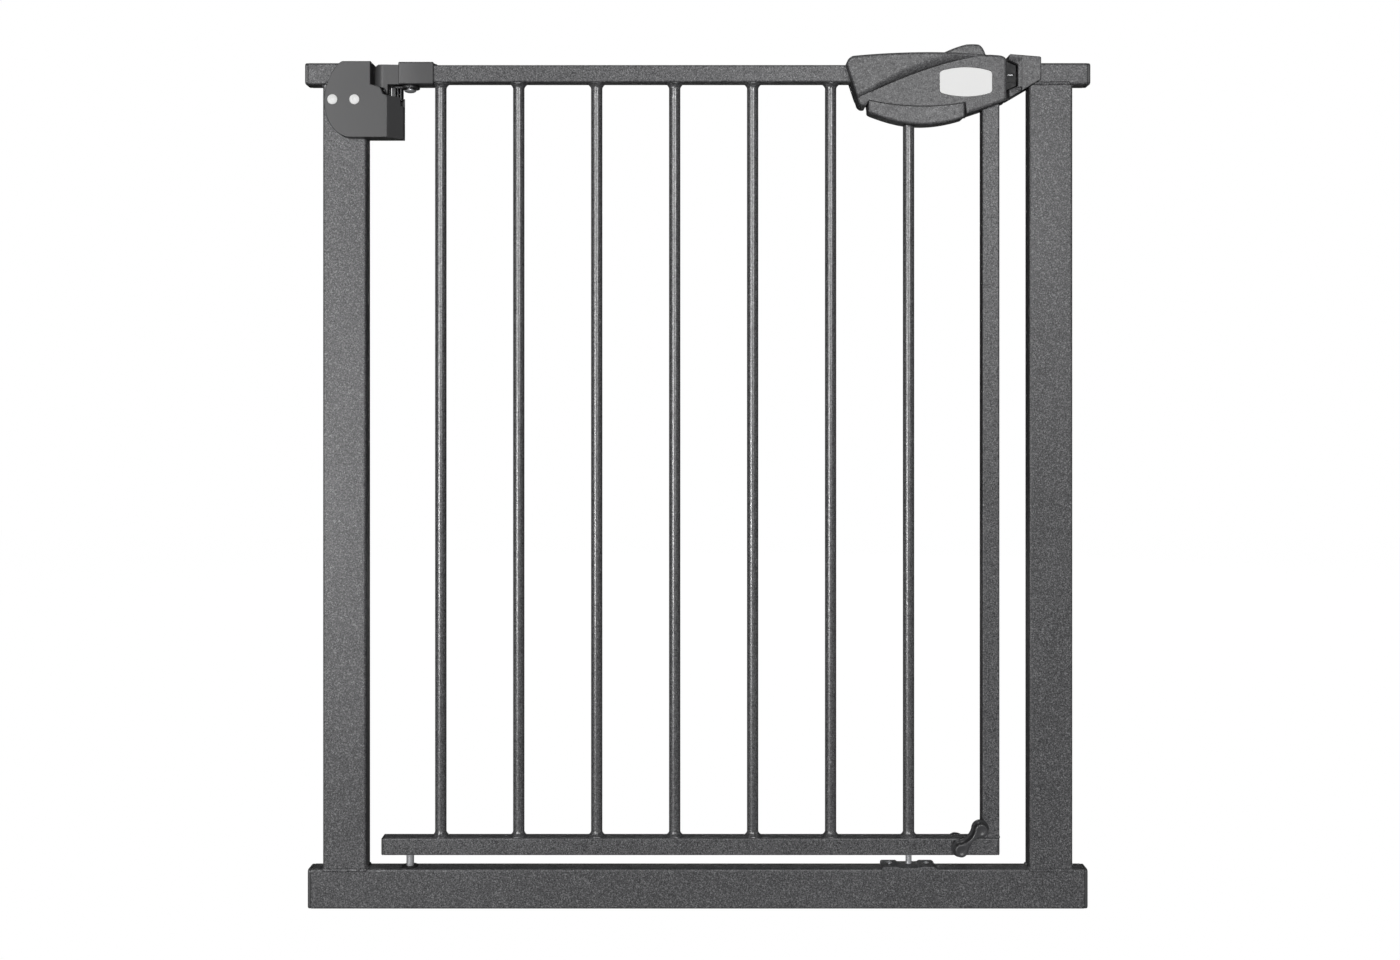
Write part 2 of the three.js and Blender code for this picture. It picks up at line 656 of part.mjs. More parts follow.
function addTrigger() {
  const shape = new THREE.Shape();
  shape.moveTo(157, 747.5);
  shape.lineTo(157, 736);
  shape.quadraticCurveTo(157.2, 734.8, 160, 733.5);
  shape.bezierCurveTo(185, 723.9, 208, 718.7, 243.4, 729.2);
  shape.quadraticCurveTo(245.8, 730, 245.8, 732.5);
  shape.lineTo(245.8, 747.5);
  let grip = extrude(shape, 'y', [-triggerHalfDepth, triggerHalfDepth], 10);
  grip = grip.subtract(cylinder('z', barRadius + 0.5, [700, 760], [lastBarX, 0]));
  const pinHole = cylinder('y', crossPinRadius + gap, [-13.3, 13.3], [lastBarX, crossPinZ], 12);
  addPart('trigger_grip', grip.subtract(pinHole), greyPlastic);
  const rod = cylinder('z', rodRadius, [rodBottom, rodTop], [lastBarX, 0]);
  addPart('pull_rod', rod.subtract(pinHole), zincSteel);
  addPart('rod_pin', cylinder('y', crossPinRadius, [-13, 13], [lastBarX, crossPinZ], 12), zincSteel);
  addPart('trigger_spring', coil('z', 0.6, 3, [748.5, 760.6], [175, 0], 4, 8), springSteel);
}

// ---------- swing-stop levers ----------

// Two round lobes joined by a waist; the first lobe sits on the axle.
function leverOutline(lobe, waist) {
  const shape = new THREE.Shape();
  const start = Math.PI / 4;
  shape.absarc(0, 0, lobe, start, Math.PI * 2 - start, false);
  const leave = lobe * Math.cos(start);
  shape.quadraticCurveTo(leverReach / 2, -2 * waist + leave, leverReach - leave, -leave);
  shape.absarc(leverReach, 0, lobe, -Math.PI + start, Math.PI - start, false);
  shape.quadraticCurveTo(leverReach / 2, 2 * waist - leave, leave, leave);
  return shape;
}

function lever(angle, side) {
  const order = (range) => (side < 0 ? mirrorDepth(range) : range);
  const place = (piece) => piece.rotate([0, -angle, 0]).translate([leverX, 0, leverZ]);
  const hub = cylinder('y', 6, order([leafTube / 2 + gap, 11.5]), [0, 0], 20);
  const plate = extrude(leverOutline(8, 4.5), 'y', order([halfDepth + 0.9, 16]), 8);
  const ridge = extrude(leverOutline(6, 3), 'y', order([15, leverFace]), 8);
  const bore = cylinder('y', axleRadius + gap, order([0, 18.8]), [0, 0], 16);
  return place(hub.add(plate).add(ridge).subtract(bore));
}

function addStopLevers() {
  addPart('front_stop_lever', lever(45, -1), blackPlastic);
  addPart('rear_stop_lever', lever(0, 1), blackPlastic);
  addPart('stop_axle', cylinder('y', axleRadius, [-18.5, 18.5], [leverX, leverZ], 16), zincSteel);
}

// ---------- assembly ----------

addBottomRail();
addPosts();
addArms();
addEndPlugs();
addLowerPivot();
addBoltGuide();
addHingeBracket();
addUpperPivot();
addHingeHousing();
addHingeSleeve();
addTopRail();
addBottomLeafRail();
addUpright();
addBars();
addHandle();
addLatch();
addKeeper();
addTrigger();
addStopLevers();

export default gate;
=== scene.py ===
import json
import math
import random

import bmesh
import bpy
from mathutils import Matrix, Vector
from mathutils import noise
from mathutils.geometry import delaunay_2d_cdt


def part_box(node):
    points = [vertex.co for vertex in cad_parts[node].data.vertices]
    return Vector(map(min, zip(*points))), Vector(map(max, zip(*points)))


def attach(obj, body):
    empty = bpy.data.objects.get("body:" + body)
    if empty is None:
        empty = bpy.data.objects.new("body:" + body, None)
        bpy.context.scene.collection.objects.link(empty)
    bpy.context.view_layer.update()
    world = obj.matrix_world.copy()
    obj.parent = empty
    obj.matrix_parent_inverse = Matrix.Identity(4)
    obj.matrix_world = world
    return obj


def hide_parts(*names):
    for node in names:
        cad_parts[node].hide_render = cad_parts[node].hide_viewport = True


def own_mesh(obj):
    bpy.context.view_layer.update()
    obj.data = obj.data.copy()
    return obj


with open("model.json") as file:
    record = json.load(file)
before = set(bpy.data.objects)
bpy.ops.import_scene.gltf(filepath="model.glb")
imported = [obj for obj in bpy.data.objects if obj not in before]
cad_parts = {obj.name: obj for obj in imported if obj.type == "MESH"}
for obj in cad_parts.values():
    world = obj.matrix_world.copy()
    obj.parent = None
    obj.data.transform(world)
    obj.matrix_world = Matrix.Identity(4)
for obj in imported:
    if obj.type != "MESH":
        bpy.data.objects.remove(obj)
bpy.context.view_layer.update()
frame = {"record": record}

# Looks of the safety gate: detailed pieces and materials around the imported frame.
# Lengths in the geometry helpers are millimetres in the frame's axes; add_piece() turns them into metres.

rng = random.Random(7)

MM = 0.001
BODY_OF = {node: body for body, nodes in frame["record"]["behaviour"]["bodies"].items() for node in nodes}


def node_box(node):
    """Lowest and highest corner of a CAD node, in millimetres."""
    low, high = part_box(node)
    return low / MM, high / MM


# ---------- driving dimensions, in millimetres ----------

HANDLE_FACE = 16.5
WING_RISE = 3.0
WING_EDGE = 9.0
VALLEY = 4.5
VALLEY_WALL = 0.35
INLAY_CENTRE = (246.4, 762.0)
INLAY_HALF = (24.1, 10.6)
INLAY_CROWN = 2.9
TRIGGER_HALF = 14.6
HOUSING_FACE = 18.0
HOUSING_SIDE_FLAT = 3.6
HOUSING_BEND_START = -285.4
HOUSING_RIGHT = -272.4
PIVOT_X = -267.0
TAIL_LEFT = -299.4
TAIL_RADIUS = 9.3
POST_INNER = -305.7
KEEPER_FACE = 15.0
BOLT_BORE = 4.4
BOLT_BORE_END = 225.0
LEVER_REACH = 26.1
LEVER_LOBE = 8.0
LEVER_WAIST = 3.7
SUPPORT_STEP = 0.12
FRAME_WALL = 1.5
FRAME_CORNER = 2.2
LEAF_WALL = 1.2
LEAF_CORNER = 1.6
LENS = 40.975  # the camera lens, in millimetres
BAR_COUNT = 7
BAR_RADIUS = 5.25
CHANNEL = (186.8, 204.0)
WELD_FLARE = 3.5
WELD_HEIGHT = 4.6
SPINDLE_SOCKET = 5.0
PLUG_FLANGE = 2.8
PLUG_DEPTH = 14.8
RAIL_PLUG_FLANGE = 1.5
PIVOT_BUSH_BORE = 3.8

# ---------- material helpers ----------


class Nodes:
    """A short way to write a node material."""

    def __init__(self, name):
        self.material = bpy.data.materials.new(name)
        self.material.use_nodes = True
        self.tree = self.material.node_tree
        self.shader = self.tree.nodes["Principled BSDF"]
        self.position = self.add("ShaderNodeTexCoord").outputs["Object"]

    def add(self, kind, **values):
        node = self.tree.nodes.new(kind)
        for key, value in values.items():
            setattr(node, key, value)
        return node

    def link(self, source, target):
        self.tree.links.new(source, target)

    def noise(self, scale, detail=2.0, roughness=0.5, stretch=None):
        node = self.add("ShaderNodeTexNoise")
        node.inputs["Scale"].default_value = scale
        node.inputs["Detail"].default_value = detail
        node.inputs["Roughness"].default_value = roughness
        source = self.position
        if stretch:
            mapping = self.add("ShaderNodeMapping")
            mapping.inputs["Scale"].default_value = stretch
            self.link(self.position, mapping.inputs["Vector"])
            source = mapping.outputs["Vector"]
        self.link(source, node.inputs["Vector"])
        return node.outputs["Fac"]

    def cells(self, scale):
        node = self.add("ShaderNodeTexVoronoi")
        node.inputs["Scale"].default_value = scale
        self.link(self.position, node.inputs["Vector"])
        return node

    def ramp(self, source, stops):
        node = self.add("ShaderNodeValToRGB")
        ramp = node.color_ramp
        while len(ramp.elements) < len(stops):
            ramp.elements.new(0.5)
        for element, (place, value) in zip(ramp.elements, stops):
            element.position = place
            element.color = (value, value, value, 1.0)
        self.link(source, node.inputs["Fac"])
        return node.outputs["Color"]

    def mix(self, factor, first, second, mode="MIX"):
        node = self.add("ShaderNodeMix", data_type="RGBA", blend_type=mode)
        for value, socket in ((factor, node.inputs[0]), (first, node.inputs[6]), (second, node.inputs[7])):
            if isinstance(value, float):
                socket.default_value = value
            elif isinstance(value, tuple):
                socket.default_value = (*value, 1.0)
            else:
                self.link(value, socket)
        return node.outputs[2]

    def bump(self, height, strength, distance):
        node = self.add("ShaderNodeBump")
        node.inputs["Strength"].default_value = strength
        node.inputs["Distance"].default_value = distance
        self.link(height, node.inputs["Height"])
        return node.outputs["Normal"]

    def finish(self, color, roughness, normal, metallic=0.0, specular=0.5):
        self.link(color, self.shader.inputs["Base Color"])
        self.link(roughness, self.shader.inputs["Roughness"])
        self.link(normal, self.shader.inputs["Normal"])
        self.shader.inputs["Metallic"].default_value = metallic
        self.shader.inputs["Specular IOR Level"].default_value = specular
        return self.material


def speckle(nodes, dark, base, fleck):
    """Grey skin with a fine dark grain and close, soft pale flecks."""
    grain = nodes.ramp(nodes.noise(700.0, 2.0, 0.6), [(0.36, 0.0), (0.56, 1.0)])
    cloud = nodes.ramp(nodes.noise(12.0, 3.0), [(0.3, 0.9), (0.7, 1.08)])
    color = nodes.mix(1.0, nodes.mix(grain, dark, base), cloud, "MULTIPLY")
    specks = nodes.ramp(nodes.noise(850.0, 3.0, 0.75), [(0.53, 0.0), (0.72, 0.85)])
    cells = nodes.cells(900.0)
    chosen = nodes.ramp(cells.outputs["Color"], [(0.55, 0.0), (0.95, 0.7)])
    round_spot = nodes.ramp(cells.outputs["Distance"], [(0.1, 1.0), (0.5, 0.0)])
    color = nodes.mix(specks, color, fleck)
    return nodes.mix(nodes.mix(1.0, chosen, round_spot, "MULTIPLY"), color, fleck)


def powder_coat(name, low_rough, high_rough, specular):
    """Dark grey powder coat with a fine bright fleck and a slightly pebbled skin."""
    nodes = Nodes(name)
    color = speckle(nodes, (0.036, 0.036, 0.038), (0.094, 0.094, 0.097), (0.38, 0.38, 0.39))
    rough = nodes.ramp(nodes.noise(500.0, 2.0), [(0.3, low_rough), (0.7, high_rough)])
    normal = nodes.bump(nodes.noise(620.0, 3.0, 0.6), 0.3, 0.0003)
    return nodes.finish(color, rough, normal, metallic=0.1, specular=specular)


def grained_plastic():
    """Moulded dark grey plastic with a spark-eroded grain and faint pale flecks."""
    nodes = Nodes("grained_plastic")
    color = speckle(nodes, (0.042, 0.042, 0.044), (0.1, 0.1, 0.103), (0.36, 0.36, 0.37))
    rough = nodes.ramp(nodes.noise(300.0, 2.0), [(0.3, 0.4), (0.7, 0.54)])
    normal = nodes.bump(nodes.noise(1400.0, 2.0, 0.6), 0.4, 0.00015)
    return nodes.finish(color, rough, normal, specular=0.5)


def even_material(name, base, cloud, rough, grain, metallic=0.0, specular=0.5):
    """A one-coloured material.

    cloud, rough and grain start with a noise's settings. What follows is the range of shade, the range of
    roughness, and the strength and distance of the bump.
    """
    nodes = Nodes(name)
    shade_noise, darkest, palest = cloud
    rough_noise, smoothest, roughest = rough
    grain_noise, strength, distance = grain
    shades = nodes.ramp(nodes.noise(*shade_noise), [(0.3, darkest), (0.7, palest)])
    color = nodes.mix(1.0, base, shades, "MULTIPLY")
    roughness = nodes.ramp(nodes.noise(*rough_noise), [(0.3, smoothest), (0.7, roughest)])
    normal = nodes.bump(nodes.noise(*grain_noise), strength, distance)
    return nodes.finish(color, roughness, normal, metallic, specular)


def smooth_plastic():
    """Plain satin dark grey plastic."""
    return even_material("smooth_plastic", (0.07, 0.07, 0.072), ((9.0, 2.0), 0.97, 1.03),
                         ((20.0, 2.0), 0.4, 0.43), ((2200.0, 2.0), 0.1, 0.00003), specular=0.35)


def black_plastic():
    """Black moulded plastic with a soft shine."""
    return even_material("black_plastic", (0.02, 0.02, 0.021), ((80.0, 3.0), 0.85, 1.15),
                         ((240.0, 2.0), 0.48, 0.6), ((1000.0, 2.0), 0.2, 0.0001), specular=0.3)


def lever_plastic():
    """Dark grey glossy plastic of the small levers."""
    return even_material("lever_plastic", (0.06, 0.06, 0.063), ((90.0, 3.0), 0.9, 1.1),
                         ((240.0, 2.0), 0.26, 0.36), ((800.0, 2.0), 0.15, 0.0001), specular=0.6)


def pale_plastic():
    """White satin plastic, blank."""
    return even_material("pale_plastic", (0.84, 0.84, 0.835), ((20.0, 2.0), 0.985, 1.0),
                         ((30.0, 2.0), 0.44, 0.47), ((1600.0, 2.0), 0.04, 0.00002))


def zinc_steel():
    """Bright zinc-plated steel with fine turning marks."""
    return even_material("zinc_steel", (0.62, 0.63, 0.65), ((150.0, 3.0), 0.85, 1.05),
                         ((400.0, 3.0, 0.6), 0.22, 0.4),
                         ((90.0, 2.0, 0.6, (1.0, 1.0, 24.0)), 0.2, 0.00005), metallic=0.55)


def dark_steel_and_painted_shade():
    """Near-black steel: partly the steel's own dark colour, partly painted shade on the hinge bracket and
    washer under the sleeve and on the strike plate inside the keeper's window; the keeper's screw takes it
    too.
    """
    return even_material("dark_steel_and_painted_shade", (0.045, 0.045, 0.047), ((130.0, 3.0), 0.8, 1.15),
                         ((420.0, 3.0, 0.6), 0.36, 0.52), ((500.0, 2.0), 0.15, 0.00008), metallic=0.5)


def spring_steel():
    """Oiled spring wire."""
    return even_material("spring_steel", (0.3, 0.3, 0.31), ((120.0, 3.0), 0.75, 1.1),
                         ((350.0, 3.0, 0.6), 0.3, 0.46), ((500.0, 2.0), 0.15, 0.00008), metallic=0.9)


PAINT = powder_coat("powder_coat", 0.36, 0.46, 0.27)
BAR_PAINT = powder_coat("powder_coat_bars", 0.26, 0.36, 1.0)
GRAINED = grained_plastic()
SMOOTH = smooth_plastic()
BLACK = black_plastic()
LEVER = lever_plastic()
PALE = pale_plastic()
ZINC = zinc_steel()
SPRING = spring_steel()
DARK_STEEL_AND_SHADE = dark_steel_and_painted_shade()

# ---------- mesh helpers ----------


def add_piece(name, vertices, faces, material, node, replaces=True, crease=35.0):
    """Makes a mesh object from millimetre points, which rides with the CAD node's body."""
    mesh = bpy.data.meshes.new(name)
    mesh.from_pydata([Vector(v) * MM for v in vertices], [], faces)
    tidy = bmesh.new()
    tidy.from_mesh(mesh)
    bmesh.ops.remove_doubles(tidy, verts=tidy.verts, dist=0.00001)
    bmesh.ops.recalc_face_normals(tidy, faces=tidy.faces)
    tidy.to_mesh(mesh)
    tidy.free()
    piece = bpy.data.objects.new(name, mesh)
    bpy.context.scene.collection.objects.link(piece)
    mesh.materials.append(material)
    shade(mesh, crease)
    register(piece, node, replaces)
    return piece


def shade(mesh, crease):
    for polygon in mesh.polygons:
        polygon.use_smooth = True
    mesh.set_sharp_from_angle(angle=math.radians(crease))


def register(piece, node, replaces):
    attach(piece, BODY_OF[node])
    if replaces:
        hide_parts(node)


def at(axis, along, a, b):
    """A point from its place along an axis and its two other coordinates, in x, y, z order."""
    if axis == "x":
        return (along, a, b)
    if axis == "y":
        return (a, along, b)
    return (a, b, along)


def loft(loops, start_cap=True, end_cap=True, ring=False):
    """Joins loops of equal length with quads; ring=True also joins the last loop to the first."""
    vertices = [point for loop in loops for point in loop]
    count = len(loops[0])
    faces = []
    last = len(loops) if ring else len(loops) - 1
    for i in range(last):
        base = i * count
        following = ((i + 1) % len(loops)) * count
        for j in range(count):
            k = (j + 1) % count
            faces.append((base + j, base + k, following + k, following + j))
    if start_cap and not ring:
        faces.append(tuple(range(count))[::-1])
    if end_cap and not ring:
        faces.append(tuple(range((len(loops) - 1) * count, len(loops) * count)))
    return vertices, faces


def rounded_rectangle(a, b, radius, steps=6):
    """Points round a rectangle with round corners, anticlockwise."""
    points = []
    corners = [(a[1], b[0], -90), (a[1], b[1], 0), (a[0], b[1], 90), (a[0], b[0], 180)]
    for corner_a, corner_b, start in corners:
        centre_a = corner_a - radius if corner_a == a[1] else corner_a + radius
        centre_b = corner_b - radius if corner_b == b[1] else corner_b + radius
        for i in range(-1, steps + 2):
            angle = math.radians(start + 90 * min(steps, max(0, i)) / steps)
            run = SUPPORT_STEP * (-1 if i < 0 else 1 if i > steps else 0)
            points.append((centre_a + radius * math.cos(angle) - run * math.sin(angle),
                           centre_b + radius * math.sin(angle) + run * math.cos(angle)))
    return points


def circle(centre, radius, count, start=0.0):
    turn = 2 * math.pi / count
    return [
        (centre[0] + radius * math.cos(start + i * turn), centre[1] + radius * math.sin(start + i * turn))
        for i in range(count)
    ]


def resample(points, spacing):
    """Adds points to a closed outline so that no side is longer than the spacing."""
    result = []
    for i, point in enumerate(points):
        following = points[(i + 1) % len(points)]
        span = math.dist(point, following)
        count = max(1, math.ceil(span / spacing))
        for k in range(count):
            t = k / count
            result.append(tuple(point[k] + (following[k] - point[k]) * t for k in (0, 1)))
    return result


def bezier(p0, p1, p2, p3, steps):
    points = []
    for i in range(1, steps + 1):
        t = i / steps
        u = 1 - t
        weights = (u * u * u, 3 * u * u * t, 3 * u * t * t, t * t * t)
        points.append(tuple(sum(w * p[k] for w, p in zip(weights, (p0, p1, p2, p3))) for k in (0, 1)))
    return points


def curve(p0, p1, p2, steps):
    """A quadratic curve, without its first point."""
    first = tuple(p0[k] + (p1[k] - p0[k]) * 2 / 3 for k in (0, 1))
    second = tuple(p2[k] + (p1[k] - p2[k]) * 2 / 3 for k in (0, 1))
    return bezier(p0, first, second, p2, steps)


def anticlockwise(points):
    area = sum(a[0] * b[1] - b[0] * a[1] for a, b in zip(points, points[1:] + points[:1]))
    return points if area > 0 else points[::-1]


def inset(points, amounts):
    """Moves each point of an anticlockwise outline inwards by its own amount."""
    result = []
    count = len(points)
    for i, point in enumerate(points):
        before = points[i - 1]
        after = points[(i + 1) % count]
        first = Vector((point[0] - before[0], point[1] - before[1])).normalized()
        second = Vector((after[0] - point[0], after[1] - point[1])).normalized()
        normal_first = Vector((-first.y, first.x))
        normal_second = Vector((-second.y, second.x))
        middle = normal_first + normal_second
        middle = middle.normalized() if middle.length > 1e-6 else normal_first
        reach = amounts[i] / max(0.5, middle.dot(normal_first))
        result.append((point[0] + middle.x * reach, point[1] + middle.y * reach))
    return result


def inside(point, outline):
    x, z = point
    hit = False
    for (x0, z0), (x1, z1) in zip(outline, outline[1:] + outline[:1]):
        if (z0 > z) != (z1 > z) and x < (x1 - x0) * (z - z0) / (z1 - z0) + x0:
            hit = not hit
    return hit


def surface_cap(loop, height, lines, spacing):
    """Triangles that fill a loop, with rows of points along the lines and on a grid between them."""
    points = [Vector(p) for p in loop]
    edges = [(i, (i + 1) % len(loop)) for i in range(len(loop))]
    for line in lines:
        kept = [p for p in line if inside(p, loop)]
        first = len(points)
        points.extend(Vector(p) for p in kept)
        edges.extend((first + i, first + i + 1) for i in range(len(kept) - 1)
                     if math.dist(kept[i], kept[i + 1]) < 3.0)
    low_x, high_x = min(p[0] for p in loop), max(p[0] for p in loop)
    low_z, high_z = min(p[1] for p in loop), max(p[1] for p in loop)
    margin = spacing * 0.4
    row = 0
    z = low_z + spacing / 2
    while z < high_z:
        x = low_x + spacing * (0.5 if row % 2 else 1.0)
        while x < high_x:
            near = any(abs(x - p.x) < margin and abs(z - p.y) < margin for p in points[:len(loop)])
            if not near and inside((x, z), loop):
                points.append(Vector((x, z)))
            x += spacing
        z += spacing * 0.87
        row += 1
    flat, _, triangles, _, _, _ = delaunay_2d_cdt(points, edges, [], 1, 1e-5)
    return [(p.x, height(p.x, p.y), p.y) for p in flat], [tuple(face) for face in triangles]


def append(mesh, part):
    """Adds a part's points and faces to a mesh, both given as a pair of lists."""
    shift = len(mesh[0])
    mesh[0].extend(part[0])
    mesh[1].extend(tuple(i + shift for i in face) for face in part[1])


def moulding(outline, back, height, side, radii, lines=(), spacing=3.0, steps=5):
    """A plate in the x-z plane with a rounded rim.

    back is the depth of its flat back, height(x, z) the depth of its face, and side -1 for the front.
    radii is the rim's radius at each outline point.
    """
    loops = [[(x, side * back, z) for x, z in outline]]
    for k in range(steps + 1):
        angle = math.pi / 2 * k / steps
        edge = inset(outline, [r * (1 - math.cos(angle)) for r in radii])
        lift = 1 - math.sin(angle)
        loops.append([(x, side * (height(x, z) - r * lift), z) for (x, z), r in zip(edge, radii)])
    edge = inset(edge, [SUPPORT_STEP] * len(outline))
    loops.append([(x, side * height(x, z), z) for x, z in edge])
    mesh = loft(loops, end_cap=False)
    append(mesh, surface_cap(edge, lambda x, z: side * height(x, z), lines, spacing))
    return mesh


def two_faced(outline, half, rims, spacing):
    """One closed body from a moulding on each side of the middle plane; rims holds both sides' radii."""
    mesh = ([], [])
    for side, radii in zip((-1, 1), rims):
        points, faces = moulding(outline, 0.0, lambda x, z: half, side, radii, spacing=spacing)
        append(mesh, (points, [face for face in faces if len(face) < len(outline)]))
    return mesh


def cutter(x, y, z):
    """A box object used only to cut, in millimetres."""
    corners = [(a, b, c) for a in x for b in y for c in z]
    faces = [(0, 1, 3, 2), (4, 6, 7, 5), (0, 4, 5, 1), (2, 3, 7, 6), (0, 2, 6, 4), (1, 5, 7, 3)]
    mesh = bpy.data.meshes.new("cutter")
    mesh.from_pydata([Vector(c) * MM for c in corners], [], faces)
    solid = bpy.data.objects.new("cutter", mesh)
    bpy.context.scene.collection.objects.link(solid)
    return solid


def apply_modifier(piece, modifier):
    with bpy.context.temp_override(object=piece, active_object=piece, selected_objects=[piece]):
        bpy.ops.object.modifier_apply(modifier=modifier.name)


def cut(piece, boxes, crease=35.0):
    """Cuts boxes out of a piece."""
    for ranges in boxes:
        tool = cutter(*ranges)
        modifier = piece.modifiers.new("cut", "BOOLEAN")
        modifier.operation = "DIFFERENCE"
        modifier.solver = "EXACT"
        modifier.object = tool
        apply_modifier(piece, modifier)
        bpy.data.objects.remove(tool)
    shade(piece.data, crease)


def cross_section(node, axis):
    """Where the node's box starts and ends along the axis, its middle across it, and its half width."""
    low, high = node_box(node)
    along = "xyz".index(axis)
    a, b = [k for k in range(3) if k != along]
    centre = ((low[a] + high[a]) / 2, (low[b] + high[b]) / 2)
    return low[along], high[along], centre, min(high[a] - low[a], high[b] - low[b]) / 2


def turned(name, node, axis, profile, material, ring=False, count=32):
    """A turned piece from pairs of radius and place along the axis, about the middle of the node's box."""
    centre = cross_section(node, axis)[2]
    loops = []
    for radius, place in profile:
        loops.append([at(axis, place, *p) for p in circle(centre, max(radius, 0.01), count)])
    add_piece(name, *loft(loops, ring=ring), material, node, crease=40)


def turned_pin(node, axis, chamfer, material):
    """A plain round pin with chamfered ends."""
    start, end, _, radius = cross_section(node, axis)
    profile = [(radius - chamfer, start), (radius, start + chamfer), (radius, end - chamfer),
               (radius - chamfer, end)]
    turned("pin_" + node, node, axis, profile, material)


# ---------- tubes, bars and welds ----------


def square_tube(node, axis, wall, corner):
    """A drawn rectangular tube with round corners, open at both ends."""
    low, high = node_box(node)
    along = "xyz".index(axis)
    a, b = [k for k in range(3) if k != along]
    span = (low[along], high[along])
    outer = rounded_rectangle((low[a], high[a]), (low[b], high[b]), corner, 7)
    inner = rounded_rectangle(
        (low[a] + wall, high[a] - wall), (low[b] + wall, high[b] - wall), max(0.4, corner - wall), 7
    )
    trimmed = inset(outer, [0.25] * len(outer))
    loops = [
        [at(axis, span[0], *p) for p in trimmed],
        [at(axis, span[0] + 0.25, *p) for p in outer],
        [at(axis, span[1] - 0.25, *p) for p in outer],
        [at(axis, span[1], *p) for p in trimmed],
        [at(axis, span[1], *p) for p in inner],
        [at(axis, span[0], *p) for p in inner],
    ]
    vertices, faces = loft(loops, ring=True)
    return add_piece("tube_" + node, vertices, faces, PAINT, node)


def bar_radius(height, angle, low, high, seed):
    """The bar's radius, with a weld collar at each end that is a little uneven round the bar."""
    radius = BAR_RADIUS
    for distance, phase in ((height - low, 0.0), (high - height, 9.0)):
        t = min(1.0, max(0.0, distance / WELD_HEIGHT))
        uneven = noise.noise(Vector((math.cos(angle), math.sin(angle), seed + phase)) * 1.3)
        radius += WELD_FLARE * (1 + 0.3 * uneven) * (1 - t) ** 1.7
    return radius


def round_bar(node, seed):
    low, high = node_box(node)
    centre = ((low.x + high.x) / 2, (low.y + high.y) / 2)
    ends = [0, 0.4, 0.9, 1.5, 2.2, 3.0, 3.8, 4.6, 6.0]
    bottom, top = low.z - 0.2, high.z + 0.2
    heights = [bottom + e for e in ends] + [bottom + (top - bottom) * k / 6 for k in range(1, 6)]
    heights += [top - e for e in reversed(ends)]
    count = 40
    loops = []
    for height in heights:
        loop = []
        for i in range(count):
            angle = 2 * math.pi * i / count
            radius = bar_radius(height, angle, bottom, top, seed)
            depth = max(-7.9, min(7.9, radius * math.sin(angle)))
            loop.append((centre[0] + radius * math.cos(angle), centre[1] + depth, height))
        loops.append(loop)
    vertices, faces = loft(loops)
    add_piece("round_" + node, vertices, faces, BAR_PAINT, node)


def weld_bead(name, node, path, radius, ripple_depth=0.07, pitch=2.1):
    """A rippled bead of weld along a line of points, under the paint."""
    points = []
    for start, end in zip(path, path[1:]):
        start, end = Vector(start), Vector(end)
        steps = max(2, round((end - start).length / 0.45))
        points.extend(start.lerp(end, k / steps) for k in range(steps))
    points.append(Vector(path[-1]))
    seed = rng.random() * 50
    count = 12
    loops = []
    travel = 0.0
    for i, point in enumerate(points):
        before = points[max(0, i - 1)]
        after = points[min(len(points) - 1, i + 1)]
        travel += (point - before).length
        direction = (after - before).normalized()
        helper = Vector((0, 0, 1)) if abs(direction.z) < 0.9 else Vector((0, 1, 0))
        side = direction.cross(helper).normalized()
        up = side.cross(direction).normalized()
        wander = Vector((0, 0, 0.5 * noise.noise(Vector((travel * 0.12, seed, 0)))))
        ripple = 1 + ripple_depth * math.sin(2 * math.pi * travel / pitch)
        ripple += 0.2 * noise.noise(Vector((travel * 0.16, 0, seed)))
        taper = min(1.0, 0.35 + 0.65 * min(i, len(points) - 1 - i) / 3)
        size = radius * ripple * taper
        loop = [
            tuple(point + wander + side * (size * math.cos(turn)) + up * (size * math.sin(turn)))
            for turn in (2 * math.pi * k / count for k in range(count))
        ]
        loops.append(loop)
    vertices, faces = loft(loops)
    add_piece(name, vertices, faces, PAINT, node, replaces=False, crease=60)


def build_frame_tubes():
    for node in ("bottom_rail", "left_top_arm", "right_top_arm"):
        square_tube(node, "x", FRAME_WALL, FRAME_CORNER)
    for node in ("left_post", "right_post"):
        square_tube(node, "z", FRAME_WALL, FRAME_CORNER)
    for node in ("gate_top_rail", "gate_bottom_rail"):
        square_tube(node, "x", LEAF_WALL, LEAF_CORNER)
    square_tube("gate_upright", "z", LEAF_WALL, LEAF_CORNER)
    for i in range(1, BAR_COUNT + 1):
        round_bar(f"bar_{i}", i * 3.7)


def build_welds():
    joint = node_box("bottom_rail")[1].z - 1.1
    for name, post in (("left", "left_post"), ("right", "right_post")):
        low, high = node_box(post)
        for side, y in (("front", -9.3), ("back", 9.3)):
            path = [(low.x - 0.4, y * 0.4, joint + 1.6), (low.x + 0.8, y, joint), (high.x - 0.8, y, joint),
                    (high.x + 0.4, y * 0.4, joint + 1.6)]
            weld_bead(f"weld_{name}_foot_{side}", post, path, 1.9)
            line = [(low.x + 2, y, high.z + 1.3), (high.x - 2, y, high.z + 1.3)]
            weld_bead(f"weld_{name}_arm_{side}", post, line, 2.0, 0.03)
        outer = low.x if name == "left" else high.x
        line = [(outer, -7.5, high.z - 0.2), (outer, 7.5, high.z - 0.2)]
        weld_bead(f"weld_{name}_arm_outer", post, line, 1.7)
    low, high = node_box("gate_upright")
    for end, z in (("foot", low.z), ("head", high.z)):
        for side, x in (("inner", low.x - 0.2), ("outer", high.x - 0.6)):
            line = [(x, -6.5, z), (x, 6.5, z)]
            weld_bead(f"weld_upright_{end}_{side}", "gate_upright", line, 1.4)


# ---------- end plugs ----------


